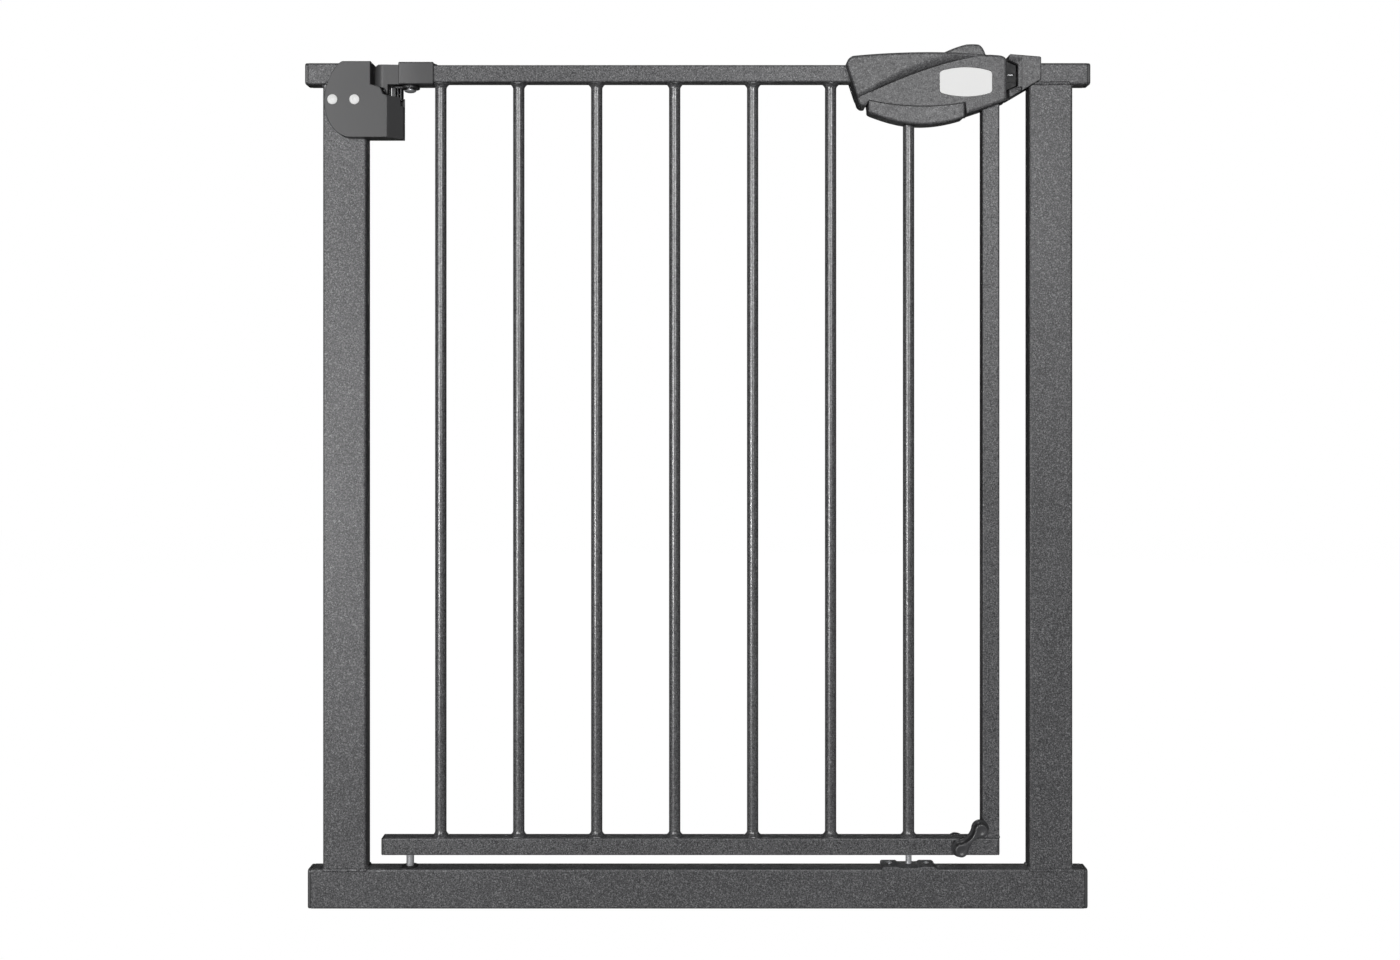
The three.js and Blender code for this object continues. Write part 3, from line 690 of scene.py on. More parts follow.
def end_plug(node, side):
    low, high = node_box(node)
    face = high.x if side > 0 else low.x
    a, b = (low.y, high.y), (low.z, high.z)
    middle = (0.0, (low.z + high.z) / 2)
    outer = rounded_rectangle(a, b, 3.0, 7)
    count = len(outer)
    angles = [math.atan2(p[1] - middle[1], p[0] - middle[0]) for p in outer]
    hole = [(SPINDLE_SOCKET * math.cos(t), middle[1] + SPINDLE_SOCKET * math.sin(t)) for t in angles]
    inner = inset(outer, [1.8] * count)

    def ring(points, inward):
        return [(face - side * inward, y, z) for y, z in points]

    loops = [ring(inner, PLUG_DEPTH), ring(inner, PLUG_FLANGE), ring(outer, PLUG_FLANGE)]
    for k in range(5):
        angle = math.pi / 2 * k / 4
        loops.append(ring(inset(outer, [1.2 * (1 - math.cos(angle))] * count), 1.2 * (1 - math.sin(angle))))
    rim = [(y + (y - middle[0]) * 0.12, z + (z - middle[1]) * 0.12) for y, z in hole]
    loops += [ring(rim, 0.0), ring(hole, 0.7), ring(hole, PLUG_DEPTH)]
    vertices, faces = loft(loops, ring=True)
    add_piece("cap_" + node, vertices, faces, SMOOTH, node)


def build_end_plugs():
    for node in ("end_plug_top_left", "end_plug_bottom_left"):
        end_plug(node, -1)
    for node in ("end_plug_top_right", "end_plug_bottom_right"):
        end_plug(node, 1)


# ---------- guide clip ----------


def build_guide():
    """The folded clip on the frame rail: two pads with a lower channel between them."""
    low, high = node_box("bolt_guide")
    pad, floor = high.z, high.z - 1.2
    left, right = CHANNEL
    stations = [(low.x, pad - 1.0), (low.x + 0.6, pad - 0.2), (low.x + 1.4, pad), (left - 2.2, pad),
                (left - 1.8, pad - 0.3), (left - 0.8, floor + 0.15), (left, floor), (right, floor),
                (right + 0.8, floor + 0.15), (right + 1.8, pad - 0.3), (right + 2.2, pad),
                (high.x - 2.2, pad), (high.x - 0.9, pad - 0.5), (high.x, pad - 1.4)]
    bend = 1.0
    loops = []
    for x, top in stations:
        section = [(low.y, low.z)]
        for k in range(5):
            angle = math.pi / 2 * k / 4
            section.append((low.y + bend * (1 - math.cos(angle)), top - bend * (1 - math.sin(angle))))
        section += [(-y, z) for y, z in reversed(section)]
        section += [(10.3, low.z), (10.3, 37.3), (-10.3, 37.3), (-10.3, low.z)]
        loops.append([(x, y, z) for y, z in section])
    vertices, faces = loft(loops)
    add_piece("clip_bolt_guide", vertices, faces, PAINT, "bolt_guide", crease=40)
    for node in ("guide_rivet_left", "guide_rivet_right"):
        domed_head(node, "z", 1)


def domed_head(node, axis, side, material=None):
    """A screw or rivet with a low domed head at one end of the node's box and a plain shank."""
    start, end, _, head = cross_section(node, axis)
    top, bottom = (end, start) if side > 0 else (start, end)
    dome = min(0.8, head * 0.3)
    shank = head * 0.55
    socket = head * 0.36
    profile = [(0.0, top - side * 0.5), (socket * 0.9, top - side * 0.45), (socket, top - side * 0.04)]
    for k in range(3, 8):
        angle = math.pi / 2 * k / 7
        profile.append((head * math.sin(angle), top - side * dome * (1 - math.cos(angle))))
    profile += [(head * 0.98, top - side * (dome + 0.1)), (shank, top - side * (dome + 0.1)),
                (shank, bottom), (0.0, bottom)]
    turned("head_" + node, node, axis, profile, material or ZINC, count=30)


# ---------- hinge housing ----------


def housing_outline(bottom):
    points = [(-326, 781)] + bezier((-326, 781), (-334, 779), (-343, 758), (-343.2, 746), 14)
    points += bezier((-343.2, 746), (-343.4, 727), (-333, bottom), (-318.4, bottom), 16)
    points += [(HOUSING_RIGHT, bottom), (HOUSING_RIGHT, 749.8), (-285.5, 749.8), (-288.7, 751),
               (-291.8, 757.5), (-300.5, 759.9), (-300.5, 781)]
    return anticlockwise(resample(points, 0.9))


def housing_depth(x, z):
    """Depth of the housing's face: flat on the left, then a broad slope to the right side."""
    t = min(1.0, max(0.0, (x - HOUSING_BEND_START) / (HOUSING_RIGHT - HOUSING_BEND_START)))
    return HOUSING_FACE - (HOUSING_FACE - HOUSING_SIDE_FLAT) * t


def build_hinge_housing():
    bend = HOUSING_RIGHT - HOUSING_BEND_START
    lines = []
    for share in (-0.01, 0.01, 0.5, 0.9):
        lines.append([(HOUSING_BEND_START + bend * share, 712.3 + k * 1.2) for k in range(34)])
    for node, side, back, bottom in (
        ("hinge_cover_front", -1, -2.85, 711.0),
        ("hinge_cover_rear", 1, 3.15, 714.0),
    ):
        outline = housing_outline(bottom)
        radii = [0.9 if x < HOUSING_BEND_START else 0.6 for x, z in outline]
        vertices, faces = moulding(outline, back, housing_depth, side, radii, lines=lines, spacing=4.0)
        piece = add_piece("moulded_" + node, vertices, faces, SMOOTH, node)
        over_post = (-10.3, 40) if side < 0 else (-40, 10.3)
        boxes = [((-360, POST_INNER), over_post, (690, 800)), ((-310, -276), (-7.3, 7.3), (742, 748.3)),
                 ((-304, -279), (-7.5, 7.5), (717, 742.6)), ((-283.1, -259.7), (-6.4, 6.4), (741.6, 760.3))]
        cut(piece, boxes if side < 0 else boxes[:-1])
    for node in ("hinge_screw_outer", "hinge_screw_inner"):
        domed_head(node, "y", -1, PALE)


def build_hinge_sleeve():
    """The box sleeve on the top rail's end, with its rounded tail in the housing's notch."""
    profile = [(-299.4, 761.3), (-291.8, 758.6), (-288.4, 752.2), (-286.4, 752.2), (-286.4, 761.3),
               (-275, 761.3), (-275, 779.3), (-295.4, 779.6), (-298.4, 778.2), (-299.4, 776)]
    add_piece("sleeve_tail", *tail_solid(profile), SMOOTH, "hinge_sleeve", replaces=False)
    add_piece("sleeve_body", *sleeve_box((-276.3, 761.3), (-244.0, 782.0)), SMOOTH, "hinge_sleeve")
    wedge = [(-245.0, 781.2), (-240.8, 779.8), (-245.0, 779.8)]
    wedge_loops = [[(x, y, z) for x, z in wedge] for y in (-8.2, 8.2)]
    add_piece("sleeve_lip", *loft(wedge_loops), SMOOTH, "hinge_sleeve", replaces=False)


def sleeve_box(low, high):
    """A box with rounded long edges and a softened end, lofted along x."""
    loops = []
    for x, shrink in ((low[0], 0.7), (low[0] + 0.2, 0.3), (low[0] + 0.6, 0.02), (low[0] + 0.75, 0.0),
                      (high[0] - 0.75, 0.0), (high[0] - 0.6, 0.02), (high[0] - 0.2, 0.3), (high[0], 0.7)):
        a = (-10.5 + shrink, 10.5 - shrink)
        b = (low[1] + shrink, high[1] - shrink)
        loops.append([(x, y, z) for y, z in rounded_rectangle(a, b, 1.6, 6)])
    return loft(loops)


def swing_room(z):
    """The widest radius about the pivot that clears the housing's notch at this height."""
    steps = [(745, 21.2), (751, 21.2), (757.5, 24.3), (759.9, 33), (790, 33)]
    for (z0, r0), (z1, r1) in zip(steps, steps[1:]):
        if z <= z1:
            return r0 + (r1 - r0) * (z - z0) / (z1 - z0)
    return steps[-1][1]


def tail_half_depth(x, z):
    """Half the tail's depth: a half circle seen from above, kept inside the swing room."""
    limit = math.sqrt(max(0.0, TAIL_RADIUS ** 2 - min(0.0, x - TAIL_LEFT - TAIL_RADIUS) ** 2))
    return min(limit, math.sqrt(max(0.0, swing_room(z) ** 2 - (x - PIVOT_X) ** 2)))


def tail_solid(profile):
    """The tail between its two curved sides."""
    outline = anticlockwise(resample(profile, 0.7))
    uprights = [[(TAIL_LEFT + step, 752 + 0.9 * k) for k in range(31)]
                for step in (0.12, 0.4, 0.9, 1.6, 2.6, 3.9, 5.4, 7.2, 9.3)]
    mesh = loft([[(x, side * tail_half_depth(x, z), z) for x, z in outline] for side in (-1, 1)],
                start_cap=False, end_cap=False)
    for side in (-1, 1):
        append(mesh, surface_cap(outline, lambda x, z: side * tail_half_depth(x, z), uprights, 1.3))
    return mesh


def build_bracket():
    """The steel bracket that carries the upper hinge pin on its lug."""
    low, high = node_box("hinge_bracket")
    lug = node_box("hinge_washer")[0].z - 0.3
    # The bracket's near-black steel is painted shade: it sits in the shade under the sleeve.
    add_piece("bracket_wall", *slab((low.x, low.x + 2.8), (-9, 9), (718, 748), 0.6), DARK_STEEL_AND_SHADE, "hinge_bracket")
    for name, x, y, z in (
        ("web", (-303, -276.3), (-7, 7), (743, 748)),
        ("riser", (-283, -279.4), (-6, 6), (743, lug)),
        ("front_rib", (-278.0, -276.9), (-6, 6), (747.5, lug - 0.4)),
        ("rear_rib", (-275.2, -274.1), (-6, 6), (747.5, lug - 0.4)),
    ):
        add_piece("bracket_" + name, *slab(x, y, z, 0.3), DARK_STEEL_AND_SHADE, "hinge_bracket", replaces=False)
    outline = [(-283, -6), (PIVOT_X - 3, -6)] + [
        (PIVOT_X + 9 * math.cos(a), 9 * math.sin(a)) for a in (math.radians(k) for k in range(-130, 131, 10))
    ] + [(PIVOT_X - 3, 6), (-283, 6)]
    rings = [inset(outline, [0.3] * len(outline)), outline, outline, inset(outline, [0.3] * len(outline))]
    heights = [high.z - 1.5, high.z - 1.2, high.z - 0.3, high.z]
    loops = [[(x, y, z) for x, y in ring] for ring, z in zip(rings, heights)]
    add_piece("bracket_lug", *loft(loops), DARK_STEEL_AND_SHADE, "hinge_bracket", replaces=False)


def slab(x, y, z, edge):
    """A box with softened edges."""
    loops = []
    for place, shrink in ((z[0], edge), (z[0] + edge * 0.3, edge * 0.3), (z[0] + edge, 0.0),
                          (z[1] - edge, 0.0), (z[1] - edge * 0.3, edge * 0.3), (z[1], edge)):
        a = (x[0] + shrink, x[1] - shrink)
        b = (y[0] + shrink, y[1] - shrink)
        loops.append([(px, py, place) for px, py in rounded_rectangle(a, b, edge * 0.8, 3)])
    return loft(loops)


def build_upper_pivot():
    """The pin's low domed head under the lug, and the washer above it."""
    low, high = node_box("upper_pivot_pin")
    profile = [(0.0, low.z), (1.4, low.z), (2.6, low.z + 0.12), (3.9, low.z + 0.5), (4.9, low.z + 1.0),
               (5.5, low.z + 1.5), (5.6, low.z + 1.7), (2.9, low.z + 1.7), (2.9, high.z), (0.0, high.z)]
    turned("turned_upper_pivot_pin", "upper_pivot_pin", "z", profile, ZINC, count=36)
    low, high = node_box("hinge_washer")
    profile = [(3.2, low.z), (7.7, low.z), (8.0, low.z + 0.2), (8.0, high.z - 0.2), (7.7, high.z),
               (3.2, high.z)]
    # The washer's near-black steel is painted shade under the sleeve.
    turned("turned_hinge_washer", "hinge_washer", "z", profile, DARK_STEEL_AND_SHADE, ring=True, count=36)


# ---------- handle ----------


def handle_outline():
    points = [(142.3, 785.8)] + curve((142.3, 785.8), (136, 783), (137, 777), 8)
    points += [(148.2, 743)] + curve((148.2, 743), (150.8, 739.2), (154.8, 740.4), 6)
    points += [(157.5, 745.2)] + curve((157.5, 745.2), (203, 735.4), (245.9, 743.2), 24)
    points += [(247.5, 732.9), (262.5, 737.9), (284, 745.5), (284, 782.5)]
    points += curve((284, 782.5), (283, 786.6), (276, 787), 8)
    points += curve((276, 787), (205, 792), (142.3, 785.8), 30)
    return anticlockwise(resample(points[:-1], 0.9))


def inlay_outline(offset):
    x, z = INLAY_CENTRE
    half_x, half_z = INLAY_HALF[0] + offset, INLAY_HALF[1] + offset
    crown = 2 * INLAY_CROWN
    points = [(x - half_x + 3, z - half_z)]
    points += curve(points[-1], (x, z - half_z - crown), (x + half_x - 3, z - half_z), 16)
    points += curve(points[-1], (x + half_x, z - half_z + 1), (x + half_x, z - 7), 5)
    points += [(x + half_x, z + 7)]
    points += curve(points[-1], (x + half_x, z + half_z - 1), (x + half_x - 3, z + half_z), 5)
    points += curve(points[-1], (x, z + half_z + crown), (x - half_x + 3, z + half_z), 16)
    points += curve(points[-1], (x - half_x, z + half_z - 1), (x - half_x, z + 7), 5)
    points += [(x - half_x, z - 7)]
    points += curve(points[-1], (x - half_x, z - half_z + 1), (x - half_x + 3, z - half_z), 5)
    return points[:-1]


CREASE = [(145.4, 746.6)] + bezier((145.4, 746.6), (185, 765.5), (225, 782.5), (276, 788.8), 140)


def crease_distance(x, z):
    """Signed distance to the wing's lower edge, positive on the wing, and the place's share of the edge."""
    best, sign = 1e9, 1.0
    for (x0, z0), (x1, z1) in zip(CREASE, CREASE[1:]):
        dx, dz = x1 - x0, z1 - z0
        t = max(0.0, min(1.0, ((x - x0) * dx + (z - z0) * dz) / (dx * dx + dz * dz)))
        distance = math.hypot(x - x0 - dx * t, z - z0 - dz * t)
        if distance < best:
            best = distance
            sign = 1.0 if dx * (z - z0) - dz * (x - x0) > 0 else -1.0
    return best * sign


def ease(value):
    value = min(1.0, max(0.0, value))
    return value * value * (3 - 2 * value)


def wing_height(x, z):
    """How far the wing stands proud: it rolls down into a valley along its lower edge."""
    distance = crease_distance(x, z)
    if distance < -VALLEY_WALL:
        return 0.0
    fade = 1.0 - 0.75 * ease((x - 215) / 45)
    valley = VALLEY * ease((x - 158) / 12) * fade
    if distance <= 0:
        return -valley * (1 + distance / VALLEY_WALL)
    width = WING_EDGE * (0.45 + 0.55 * ease((x - 150) / 55))
    t = min(1.0, distance / width)
    return (WING_RISE * fade + valley) * math.sqrt(1 - (1 - t) ** 2) - valley


def shifted_crease(distance):
    points = []
    for (x0, z0), (x1, z1) in zip(CREASE, CREASE[1:]):
        length = math.dist((x0, z0), (x1, z1))
        points.append((x0 - (z1 - z0) / length * distance, z0 + (x1 - x0) / length * distance))
    return points


def build_handle():
    outline = handle_outline()
    radii = [0.8 if 156 < x < 247.6 and z < 747 else 2.6 for x, z in outline]
    for _ in range(6):
        radii = [(radii[i - 1] + radii[i] + radii[(i + 1) % len(radii)]) / 3 for i in range(len(radii))]
    creases = [shifted_crease(d) for d in (-VALLEY_WALL, 0.0, 0.15, 0.45, 1.0, 1.8, 2.8, 4.0, 5.4, 7.0)]
    recess = inlay_outline(0.2)
    recess_lines = [resample(inlay_outline(offset), 1.5) for offset in (0.26, 0.14)]
    recess_lines = [line + line[:1] for line in recess_lines]

    def front_height(x, z):
        if inside((x, z), recess):
            return HANDLE_FACE - 0.8
        return HANDLE_FACE + wing_height(x, z)

    def rear_height(x, z):
        return HANDLE_FACE + wing_height(x, z)

    boxes = [
        ((100, 300), (-8.4, 8.4), (763.1, 779.9)),
        ((262.6, 279.4), (-8.4, 8.4), (700, 764)),
        ((156.5, 246.4), (-15.0, 15.0), (700, 754.5)),
        ((190.0, 201.6), (-5.8, 5.8), (750, 765)),
        ((210, 269.5), (-8.9, 8.9), (784.2, 810)),
        ((225.6, 247.8), (-3.4, 3.4), (775, 790)),
        ((279, 300), (-8.4, 8.4), (754.9, 783.7)),
    ]
    rear_radii = [min(8.0 if x > 247 else 6.5, radius * 3) if z < 770 else radius * 2
                  for radius, (x, z) in zip(radii, outline)]
    for node, side, height, extra, rims in (
        ("handle_front_shell", -1, front_height, recess_lines, radii),
        ("handle_rear_shell", 1, rear_height, [], rear_radii),
    ):
        vertices, faces = moulding(outline, 0.1, height, side, rims, lines=creases + extra, spacing=3.2)
        piece = add_piece("moulded_" + node, vertices, faces, GRAINED, node, crease=42)
        cut(piece, boxes, crease=42)
    inlay = anticlockwise(inlay_outline(0.0))
    plate = moulding(inlay, 15.8, lambda x, z: 16.7, -1, [0.35] * len(inlay), spacing=4.0)
    add_piece("blank_inlay", *plate, PALE, "handle_inlay")
    for i in (1, 2, 3):
        domed_head(f"handle_screw_{i}", "y", 1)


def build_trigger():
    points = [(157, 747.5), (157, 736)] + curve((157, 736), (157.2, 734.8), (160, 733.5), 5)
    points += bezier((160, 733.5), (185, 723.9), (208, 718.7), (243.4, 729.2), 30)
    points += curve((243.4, 729.2), (245.8, 730), (245.8, 732.5), 5)
    points += [(245.8, 747.5)]
    outline = anticlockwise(resample(points, 0.9))
    radii = [2.1 if z < 745 else 0.6 for x, z in outline]
    for _ in range(4):
        radii = [(radii[i - 1] + radii[i] + radii[(i + 1) % len(radii)]) / 3 for i in range(len(radii))]
    rims = []
    for swell in (1.0, 4.5):
        rims.append([radius * (1 + (swell - 1) * ease((746 - z) / 9))
                     for radius, (x, z) in zip(radii, outline)])
    mesh = two_faced(outline, TRIGGER_HALF, rims, 4.0)
    piece = add_piece("moulded_trigger_grip", *mesh, GRAINED, "trigger_grip", crease=40)
    cut(piece, [((190.2, 201.4), (-5.7, 5.7), (700, 760))], crease=40)


def symmetric_plate(name, node, points, half, radius, material, spacing=1.0):
    """A plate that is the same front and back, with rounded rims."""
    outline = anticlockwise(resample(points, spacing))
    mesh = two_faced(outline, half, [[radius] * len(outline)] * 2, 3.0)
    return add_piece(name, *mesh, material, node, crease=40)


def build_slider():
    points = [(222, 784.7), (223.6, 789.2)]
    points += curve((223.6, 789.2), (238, 796.6), (248.7, 798.7), 10)
    points += curve((248.7, 798.7), (255, 799.2), (259.5, 798.6), 5)
    points += curve((259.5, 798.6), (263.5, 797.6), (266.3, 789.2), 8)
    points += [(266.5, 784.7)]
    symmetric_plate("moulded_thumb_slider", "thumb_slider", points, 8.2, 2.4, GRAINED, 0.8)
    section = ((-2.9, 777.8), (2.9, 777.8), (2.9, 786), (-2.9, 786))
    stem = [[(x, y, z) for y, z in section] for x in (236, 246.5)]
    add_piece("slider_stem", *loft(stem), GRAINED, "thumb_slider", replaces=False)


# ---------- keeper and latch nose ----------


def keeper_outline():
    points = [(287.6, 788.1), (286.6, 787.2), (286.6, 782.8), (295, 779.2), (295, 759), (286.6, 755.5),
              (286.6, 748.6), (287.4, 748.1), (315.2, 764.4), (316, 765.8), (316, 784.9), (315.0, 785.9)]
    return anticlockwise(resample(points, 0.9))


def keeper_depth(x, z):
    """Depth of the keeper's face: a sloping band beside the window, then the flat face."""
    t = min(1.0, max(0.0, (x - 296.2) / 4.2))
    smooth = t * t * (3 - 2 * t)
    beside_window = min(1.0, max(0.0, (z - 754.5) / 3.0)) * min(1.0, max(0.0, (784.5 - z) / 3.0))
    return KEEPER_FACE - 2.2 * (1 - smooth) * beside_window


def build_keeper():
    outline = keeper_outline()
    radii = [1.1] * len(outline)
    lines = [[(x, 750 + 0.9 * k) for k in range(42)] for x in (296.2, 297.2, 298.2, 299.3, 300.4)]
    boxes = [((299.7, 330), (-10.3, 10.3), (740, 781.3)), ((290, 297.1), (-10, 10), (759.7, 779.2)),
             ((290, 299.9), (-6.7, 6.7), (764.8, 778.2))]
    for node, side in (("keeper_front", -1), ("keeper_rear", 1)):
        vertices, faces = moulding(outline, 0.1, keeper_depth, side, radii, lines=lines, spacing=3.0)
        piece = add_piece("moulded_" + node, vertices, faces, GRAINED, node)
        cut(piece, boxes)
    domed_head("keeper_screw", "y", -1, DARK_STEEL_AND_SHADE)


def build_nose():
    points = [(279.7, 756.4), (284, 755.3), (293.6, 759.3), (294.3, 760.1), (294.3, 778.2), (293.6, 779.1),
              (284, 783.3), (279.7, 783.3)]
    piece = symmetric_plate("moulded_latch_nose", "latch_nose", points, 8.0, 0.7, BLACK)
    cut(piece, [((270, 300), (-6.4, 6.4), (765.1, 777.9)), ((286, 291.6), (-9, -6), (769.6, 770.9)),
                ((285, 292.6), (-9, -7.2), (760.8, 763.4))])


def build_bolt():
    """The square latch bolt: softened edges, a chamfered tip and a round bore for its spring."""
    low, high = node_box("latch_bolt")
    outline = resample(rounded_rectangle((low.y, high.y), (low.z, high.z), 0.8, 3), 0.8)
    middle = (low.z + high.z) / 2
    bore = []
    for y, z in outline:
        reach = BOLT_BORE / math.hypot(y, z - middle)
        bore.append((y * reach, middle + (z - middle) * reach))
    loops = [[(x, y, z) for y, z in bore] for x in (BOLT_BORE_END, low.x)]
    for x, shrink in ((low.x, 0.6), (low.x + 0.6, 0.0), (high.x - 1.5, 0.0), (high.x - 0.1, 1.4),
                      (high.x, 1.6)):
        loops.append([(x, y, z) for y, z in inset(outline, [shrink] * len(outline))])
    add_piece("milled_latch_bolt", *loft(loops), SPRING, "latch_bolt", crease=30)


# ---------- swing-stop levers ----------


def lever_outline(lobe, waist):
    points = circle((0, 0), lobe, 48, math.pi / 4)[:37]
    leave = lobe * math.cos(math.pi / 4)
    middle, bow, arrive = LEVER_REACH / 2, 2 * waist - leave, LEVER_REACH - leave
    points += curve((leave, -leave), (middle, -bow), (arrive, -leave), 14)
    far = circle((LEVER_REACH, 0), lobe, 48, -3 * math.pi / 4)[:37]
    points += far[1:]
    points += curve((arrive, leave), (middle, bow), (leave, leave), 14)[:-1]
    return anticlockwise(resample(points, 0.8))


def build_lever(node, angle, side):
    """A two-lobed lever: wide at the back, drafted to a narrower face with dished lobes."""
    low, high = node_box("stop_axle")
    pivot = ((low.x + high.x) / 2, (low.z + high.z) / 2)
    outline = lever_outline(LEVER_LOBE, LEVER_WAIST)
    count = len(outline)
    depths = [(0.0, 10.9), (0.0, 12.6), (0.5, 13.4), (1.5, 14.2), (1.8, 15.5), (2.0, 19.6)]
    for k in range(1, 6):
        turn = math.pi / 2 * k / 5
        depths.append((2.0 + 1.2 * (1 - math.cos(turn)), 19.6 + 1.2 * math.sin(turn) + 0.9))
    loops = [[(x, depth, z) for x, z in inset(outline, [amount] * count)] for amount, depth in depths]

    def dish(x, z):
        near = min(math.hypot(x, z), math.hypot(x - LEVER_REACH, z))
        return 21.7 - 0.9 * max(0.0, 1 - (near / 3.9) ** 2)

    mesh = loft(loops, end_cap=False)
    append(mesh, surface_cap([(x, z) for x, _, z in loops[-1]], dish, [], 1.0))
    turn = math.radians(angle)
    placed = [
        (pivot[0] + x * math.cos(turn) - z * math.sin(turn), side * y,
         pivot[1] + x * math.sin(turn) + z * math.cos(turn))
        for x, y, z in mesh[0]
    ]
    add_piece("moulded_" + node, placed, mesh[1], LEVER, node, crease=40)
    hub = [[(x, side * y, z) for x, z in circle(pivot, 6.0, 32)] for y in (8.2, 11.2)]
    add_piece("hub_" + node, *loft(hub), LEVER, node, replaces=False)


def build_levers():
    build_lever("front_stop_lever", 45, -1)
    build_lever("rear_stop_lever", 0, 1)


# ---------- pins, springs and other small hardware ----------


def wound_spring(node, axis, wire, turns):
    """A compression spring whose first and last turns are wound close."""
    start, end, centre, radius = cross_section(node, axis)
    coil = radius - wire
    start += wire
    end -= wire
    close = 2 * wire + 0.05
    pitch = (end - start - 2 * close) / (turns - 2)
    steps = 24 * turns
    loops = []
    for i in range(steps + 1):
        wound = turns * i / steps
        place = start + close * min(1.0, wound) + pitch * min(turns - 2, max(0.0, wound - 1))
        place += close * max(0.0, wound - turns + 1)
        angle = 2 * math.pi * wound
        loop = []
        for k in range(10):
            turn = 2 * math.pi * k / 10
            reach = coil + wire * math.cos(turn)
            loop.append(at(axis, place + wire * math.sin(turn),
                           centre[0] + reach * math.cos(angle), centre[1] + reach * math.sin(angle)))
        loops.append(loop)
    return add_piece("wound_" + node, *loft(loops), SPRING, node, crease=60)


def build_rail_plug(node, side):
    """A push-in plug: a domed flange and a boss that fills the rail's end."""
    low, high = node_box(node)
    face, tail = (low.x, high.x) if side < 0 else (high.x, low.x)
    outer = rounded_rectangle((low.y, high.y), (low.z, high.z), 1.6, 5)
    count = len(outer)
    loops = []
    length = abs(face - tail)
    for inward, shrink in ((0.0, 1.1), (0.15, 0.5), (0.5, 0.1), (0.9, 0.0), (RAIL_PLUG_FLANGE, 0.0),
                           (RAIL_PLUG_FLANGE, 1.55), (length - 0.8, 1.55), (length, 2.2)):
        loops.append([(face - side * inward, y, z) for y, z in inset(outer, [shrink] * count)])
    add_piece("cap_" + node, *loft(loops), SMOOTH, node)


def build_hardware():
    wound_spring("closing_spring", "z", 0.8, 5)
    wound_spring("latch_spring", "x", 0.6, 9)
    spring = wound_spring("trigger_spring", "z", 0.6, 5)
    low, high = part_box("trigger_spring")
    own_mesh(spring)
    turned_pin("lower_pivot_pin", "z", 0.5, ZINC)
    turned_pin("pull_rod", "z", 0.4, ZINC)
    turned_pin("rod_pin", "y", 0.25, ZINC)
    turned_pin("stop_axle", "y", 0.3, ZINC)
    low, high = node_box("pivot_bush")
    bore = PIVOT_BUSH_BORE
    profile = [(bore + 0.4, low.z), (6.0, low.z), (6.0, high.z - 0.8), (7.5, high.z - 0.8),
               (7.5, high.z - 0.2), (7.3, high.z), (bore + 0.3, high.z), (bore, high.z - 0.3),
               (bore, low.z + 0.4)]
    turned("turned_pivot_bush", "pivot_bush", "z", profile, BLACK, ring=True)
    build_rail_plug("gate_rail_plug_left", -1)
    build_rail_plug("gate_rail_plug_right", 1)
    low, high = node_box("strike_plate")
    plate = slab((low.x, high.x), (low.y, high.y), (low.z, high.z), 0.25)
    # The strike plate is zinc steel; its near-black colour is painted shade inside the keeper's window.
    piece = add_piece("pressed_strike_plate", *plate, DARK_STEEL_AND_SHADE, "strike_plate")
    cut(piece, [((290, 300), (-6.7, 6.7), (764.8, 777.7))])
    low, high = node_box("latch_spring_seat")
    seat = slab((low.x, high.x), (low.y, high.y), (low.z, high.z), 0.5)
    add_piece("moulded_latch_spring_seat", *seat, BLACK, "latch_spring_seat")


# ---------- camera, light and stage ----------


def build_camera():
    data = bpy.data.cameras.new("camera")
    data.lens = LENS
    data.sensor_width = 36.0
    data.shift_y = -0.0593  # the gate stands a little high in the frame
    camera = bpy.data.objects.new("camera", data)
    camera.location = (0.0021, -1.48, 0.4726)
    camera.rotation_euler = (math.pi / 2, 0, 0)
    bpy.context.scene.collection.objects.link(camera)
    bpy.context.scene.camera = camera


def area_light(name, place, target, size, energy, unseen_by=""):
    data = bpy.data.lights.new(name, "AREA")
    data.shape = "RECTANGLE"
    data.size, data.size_y = size
    data.energy = energy
    light = bpy.data.objects.new(name, data)
    light.location = place
    direction = Vector(target) - Vector(place)
    light.rotation_euler = direction.to_track_quat("-Z", "Y").to_euler()
    light.visible_diffuse = unseen_by != "diffuse"
    light.visible_glossy = unseen_by != "glossy"
    bpy.context.scene.collection.objects.link(light)


def build_lights():
    area_light("key", (-0.7, -8.0, 1.1), (0.0, 0.0, 0.45), (0.9, 0.9), 545.0, "glossy")
    area_light("strip", (-1.0, -1.6, 0.8), (-0.1, 0.0, 0.45), (0.2, 1.5), 22.0, "diffuse")
    area_light("low_strip", (-0.9, -1.5, 0.22), (-0.1, 0.0, 0.2), (0.2, 0.4), 8.0, "diffuse")
    area_light("right_shine", (0.45, -2.2, 1.05), (0.1, 0.0, 0.6), (0.6, 0.9), 24.0, "diffuse")
    area_light("back", (0.3, 3.2, 0.9), (0.0, 0.0, 0.4), (1.4, 1.2), 110.0, "glossy")
    area_light("back_shine", (-0.5, 1.4, 2.8), (0.0, 0.0, 0.4), (0.6, 1.2), 14.0, "diffuse")


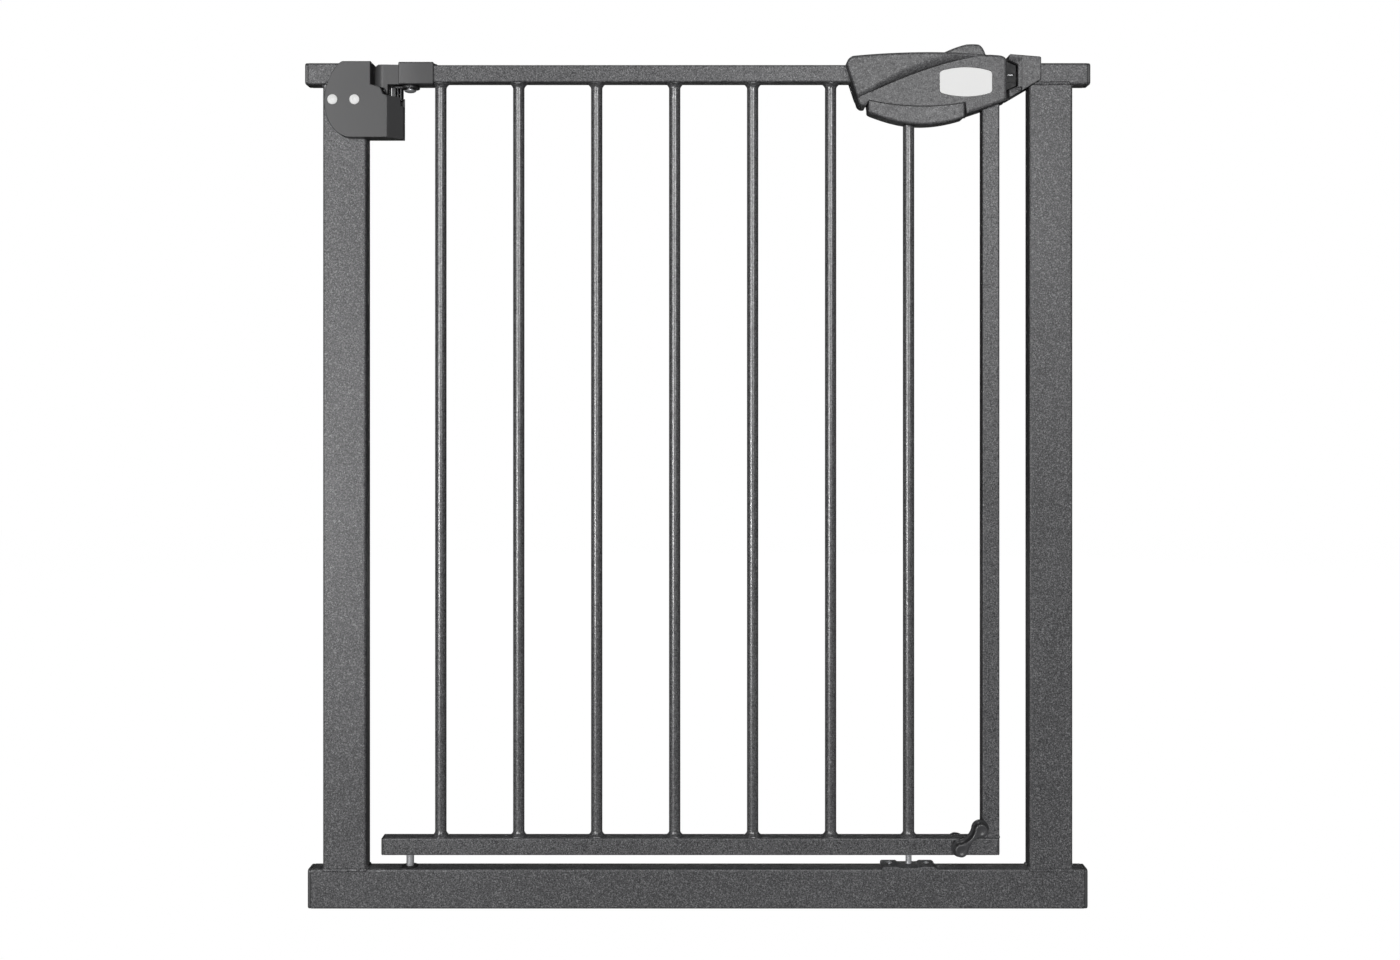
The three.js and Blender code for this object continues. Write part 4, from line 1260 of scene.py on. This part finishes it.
def build_world():
    world = bpy.data.worlds.new("studio")
    bpy.context.scene.world = world
    world.use_nodes = True
    tree = world.node_tree
    background = tree.nodes["Background"]
    output = tree.nodes["World Output"]
    background.inputs["Color"].default_value = (0.006, 0.006, 0.006, 1.0)
    seen = tree.nodes.new("ShaderNodeBackground")
    seen.inputs["Color"].default_value = (1.0, 1.0, 1.0, 1.0)
    path = tree.nodes.new("ShaderNodeLightPath")
    choose = tree.nodes.new("ShaderNodeMixShader")
    tree.links.new(path.outputs["Is Camera Ray"], choose.inputs[0])
    tree.links.new(background.outputs[0], choose.inputs[1])
    tree.links.new(seen.outputs[0], choose.inputs[2])
    tree.links.new(choose.outputs[0], output.inputs["Surface"])


def build_floor():
    """A pale floor that fades to the background's white."""
    mesh = bpy.data.meshes.new("floor")
    mesh.from_pydata([(-4, -4, 0), (4, -4, 0), (4, 4, 0), (-4, 4, 0)], [], [(0, 1, 2, 3)])
    floor = bpy.data.objects.new("floor", mesh)
    bpy.context.scene.collection.objects.link(floor)
    material = bpy.data.materials.new("pale_floor")
    material.use_nodes = True
    tree = material.node_tree
    shader = tree.nodes["Principled BSDF"]
    shader.inputs["Base Color"].default_value = (0.1, 0.1, 0.1, 1.0)
    shader.inputs["Roughness"].default_value = 0.9
    glow = tree.nodes.new("ShaderNodeEmission")
    glow.inputs["Color"].default_value = (1.0, 1.0, 1.0, 1.0)
    glow.inputs["Strength"].default_value = 1.04
    path = tree.nodes.new("ShaderNodeLightPath")
    share = tree.nodes.new("ShaderNodeMath")
    share.operation = "MULTIPLY"
    share.inputs[1].default_value = 0.96
    choose = tree.nodes.new("ShaderNodeMixShader")
    tree.links.new(path.outputs["Is Camera Ray"], share.inputs[0])
    tree.links.new(share.outputs[0], choose.inputs[0])
    tree.links.new(shader.outputs[0], choose.inputs[1])
    tree.links.new(glow.outputs[0], choose.inputs[2])
    tree.links.new(choose.outputs[0], tree.nodes["Material Output"].inputs["Surface"])
    mesh.materials.append(material)


# ---------- the whole scene ----------

build_camera()
build_frame_tubes()
build_welds()
build_end_plugs()
build_guide()
build_hinge_housing()
build_hinge_sleeve()
build_bracket()
build_upper_pivot()
build_handle()
build_trigger()
build_slider()
build_keeper()
build_nose()
build_bolt()
build_levers()
build_hardware()
build_lights()
build_world()
build_floor()
bpy.context.scene.view_settings.view_transform = "Standard"
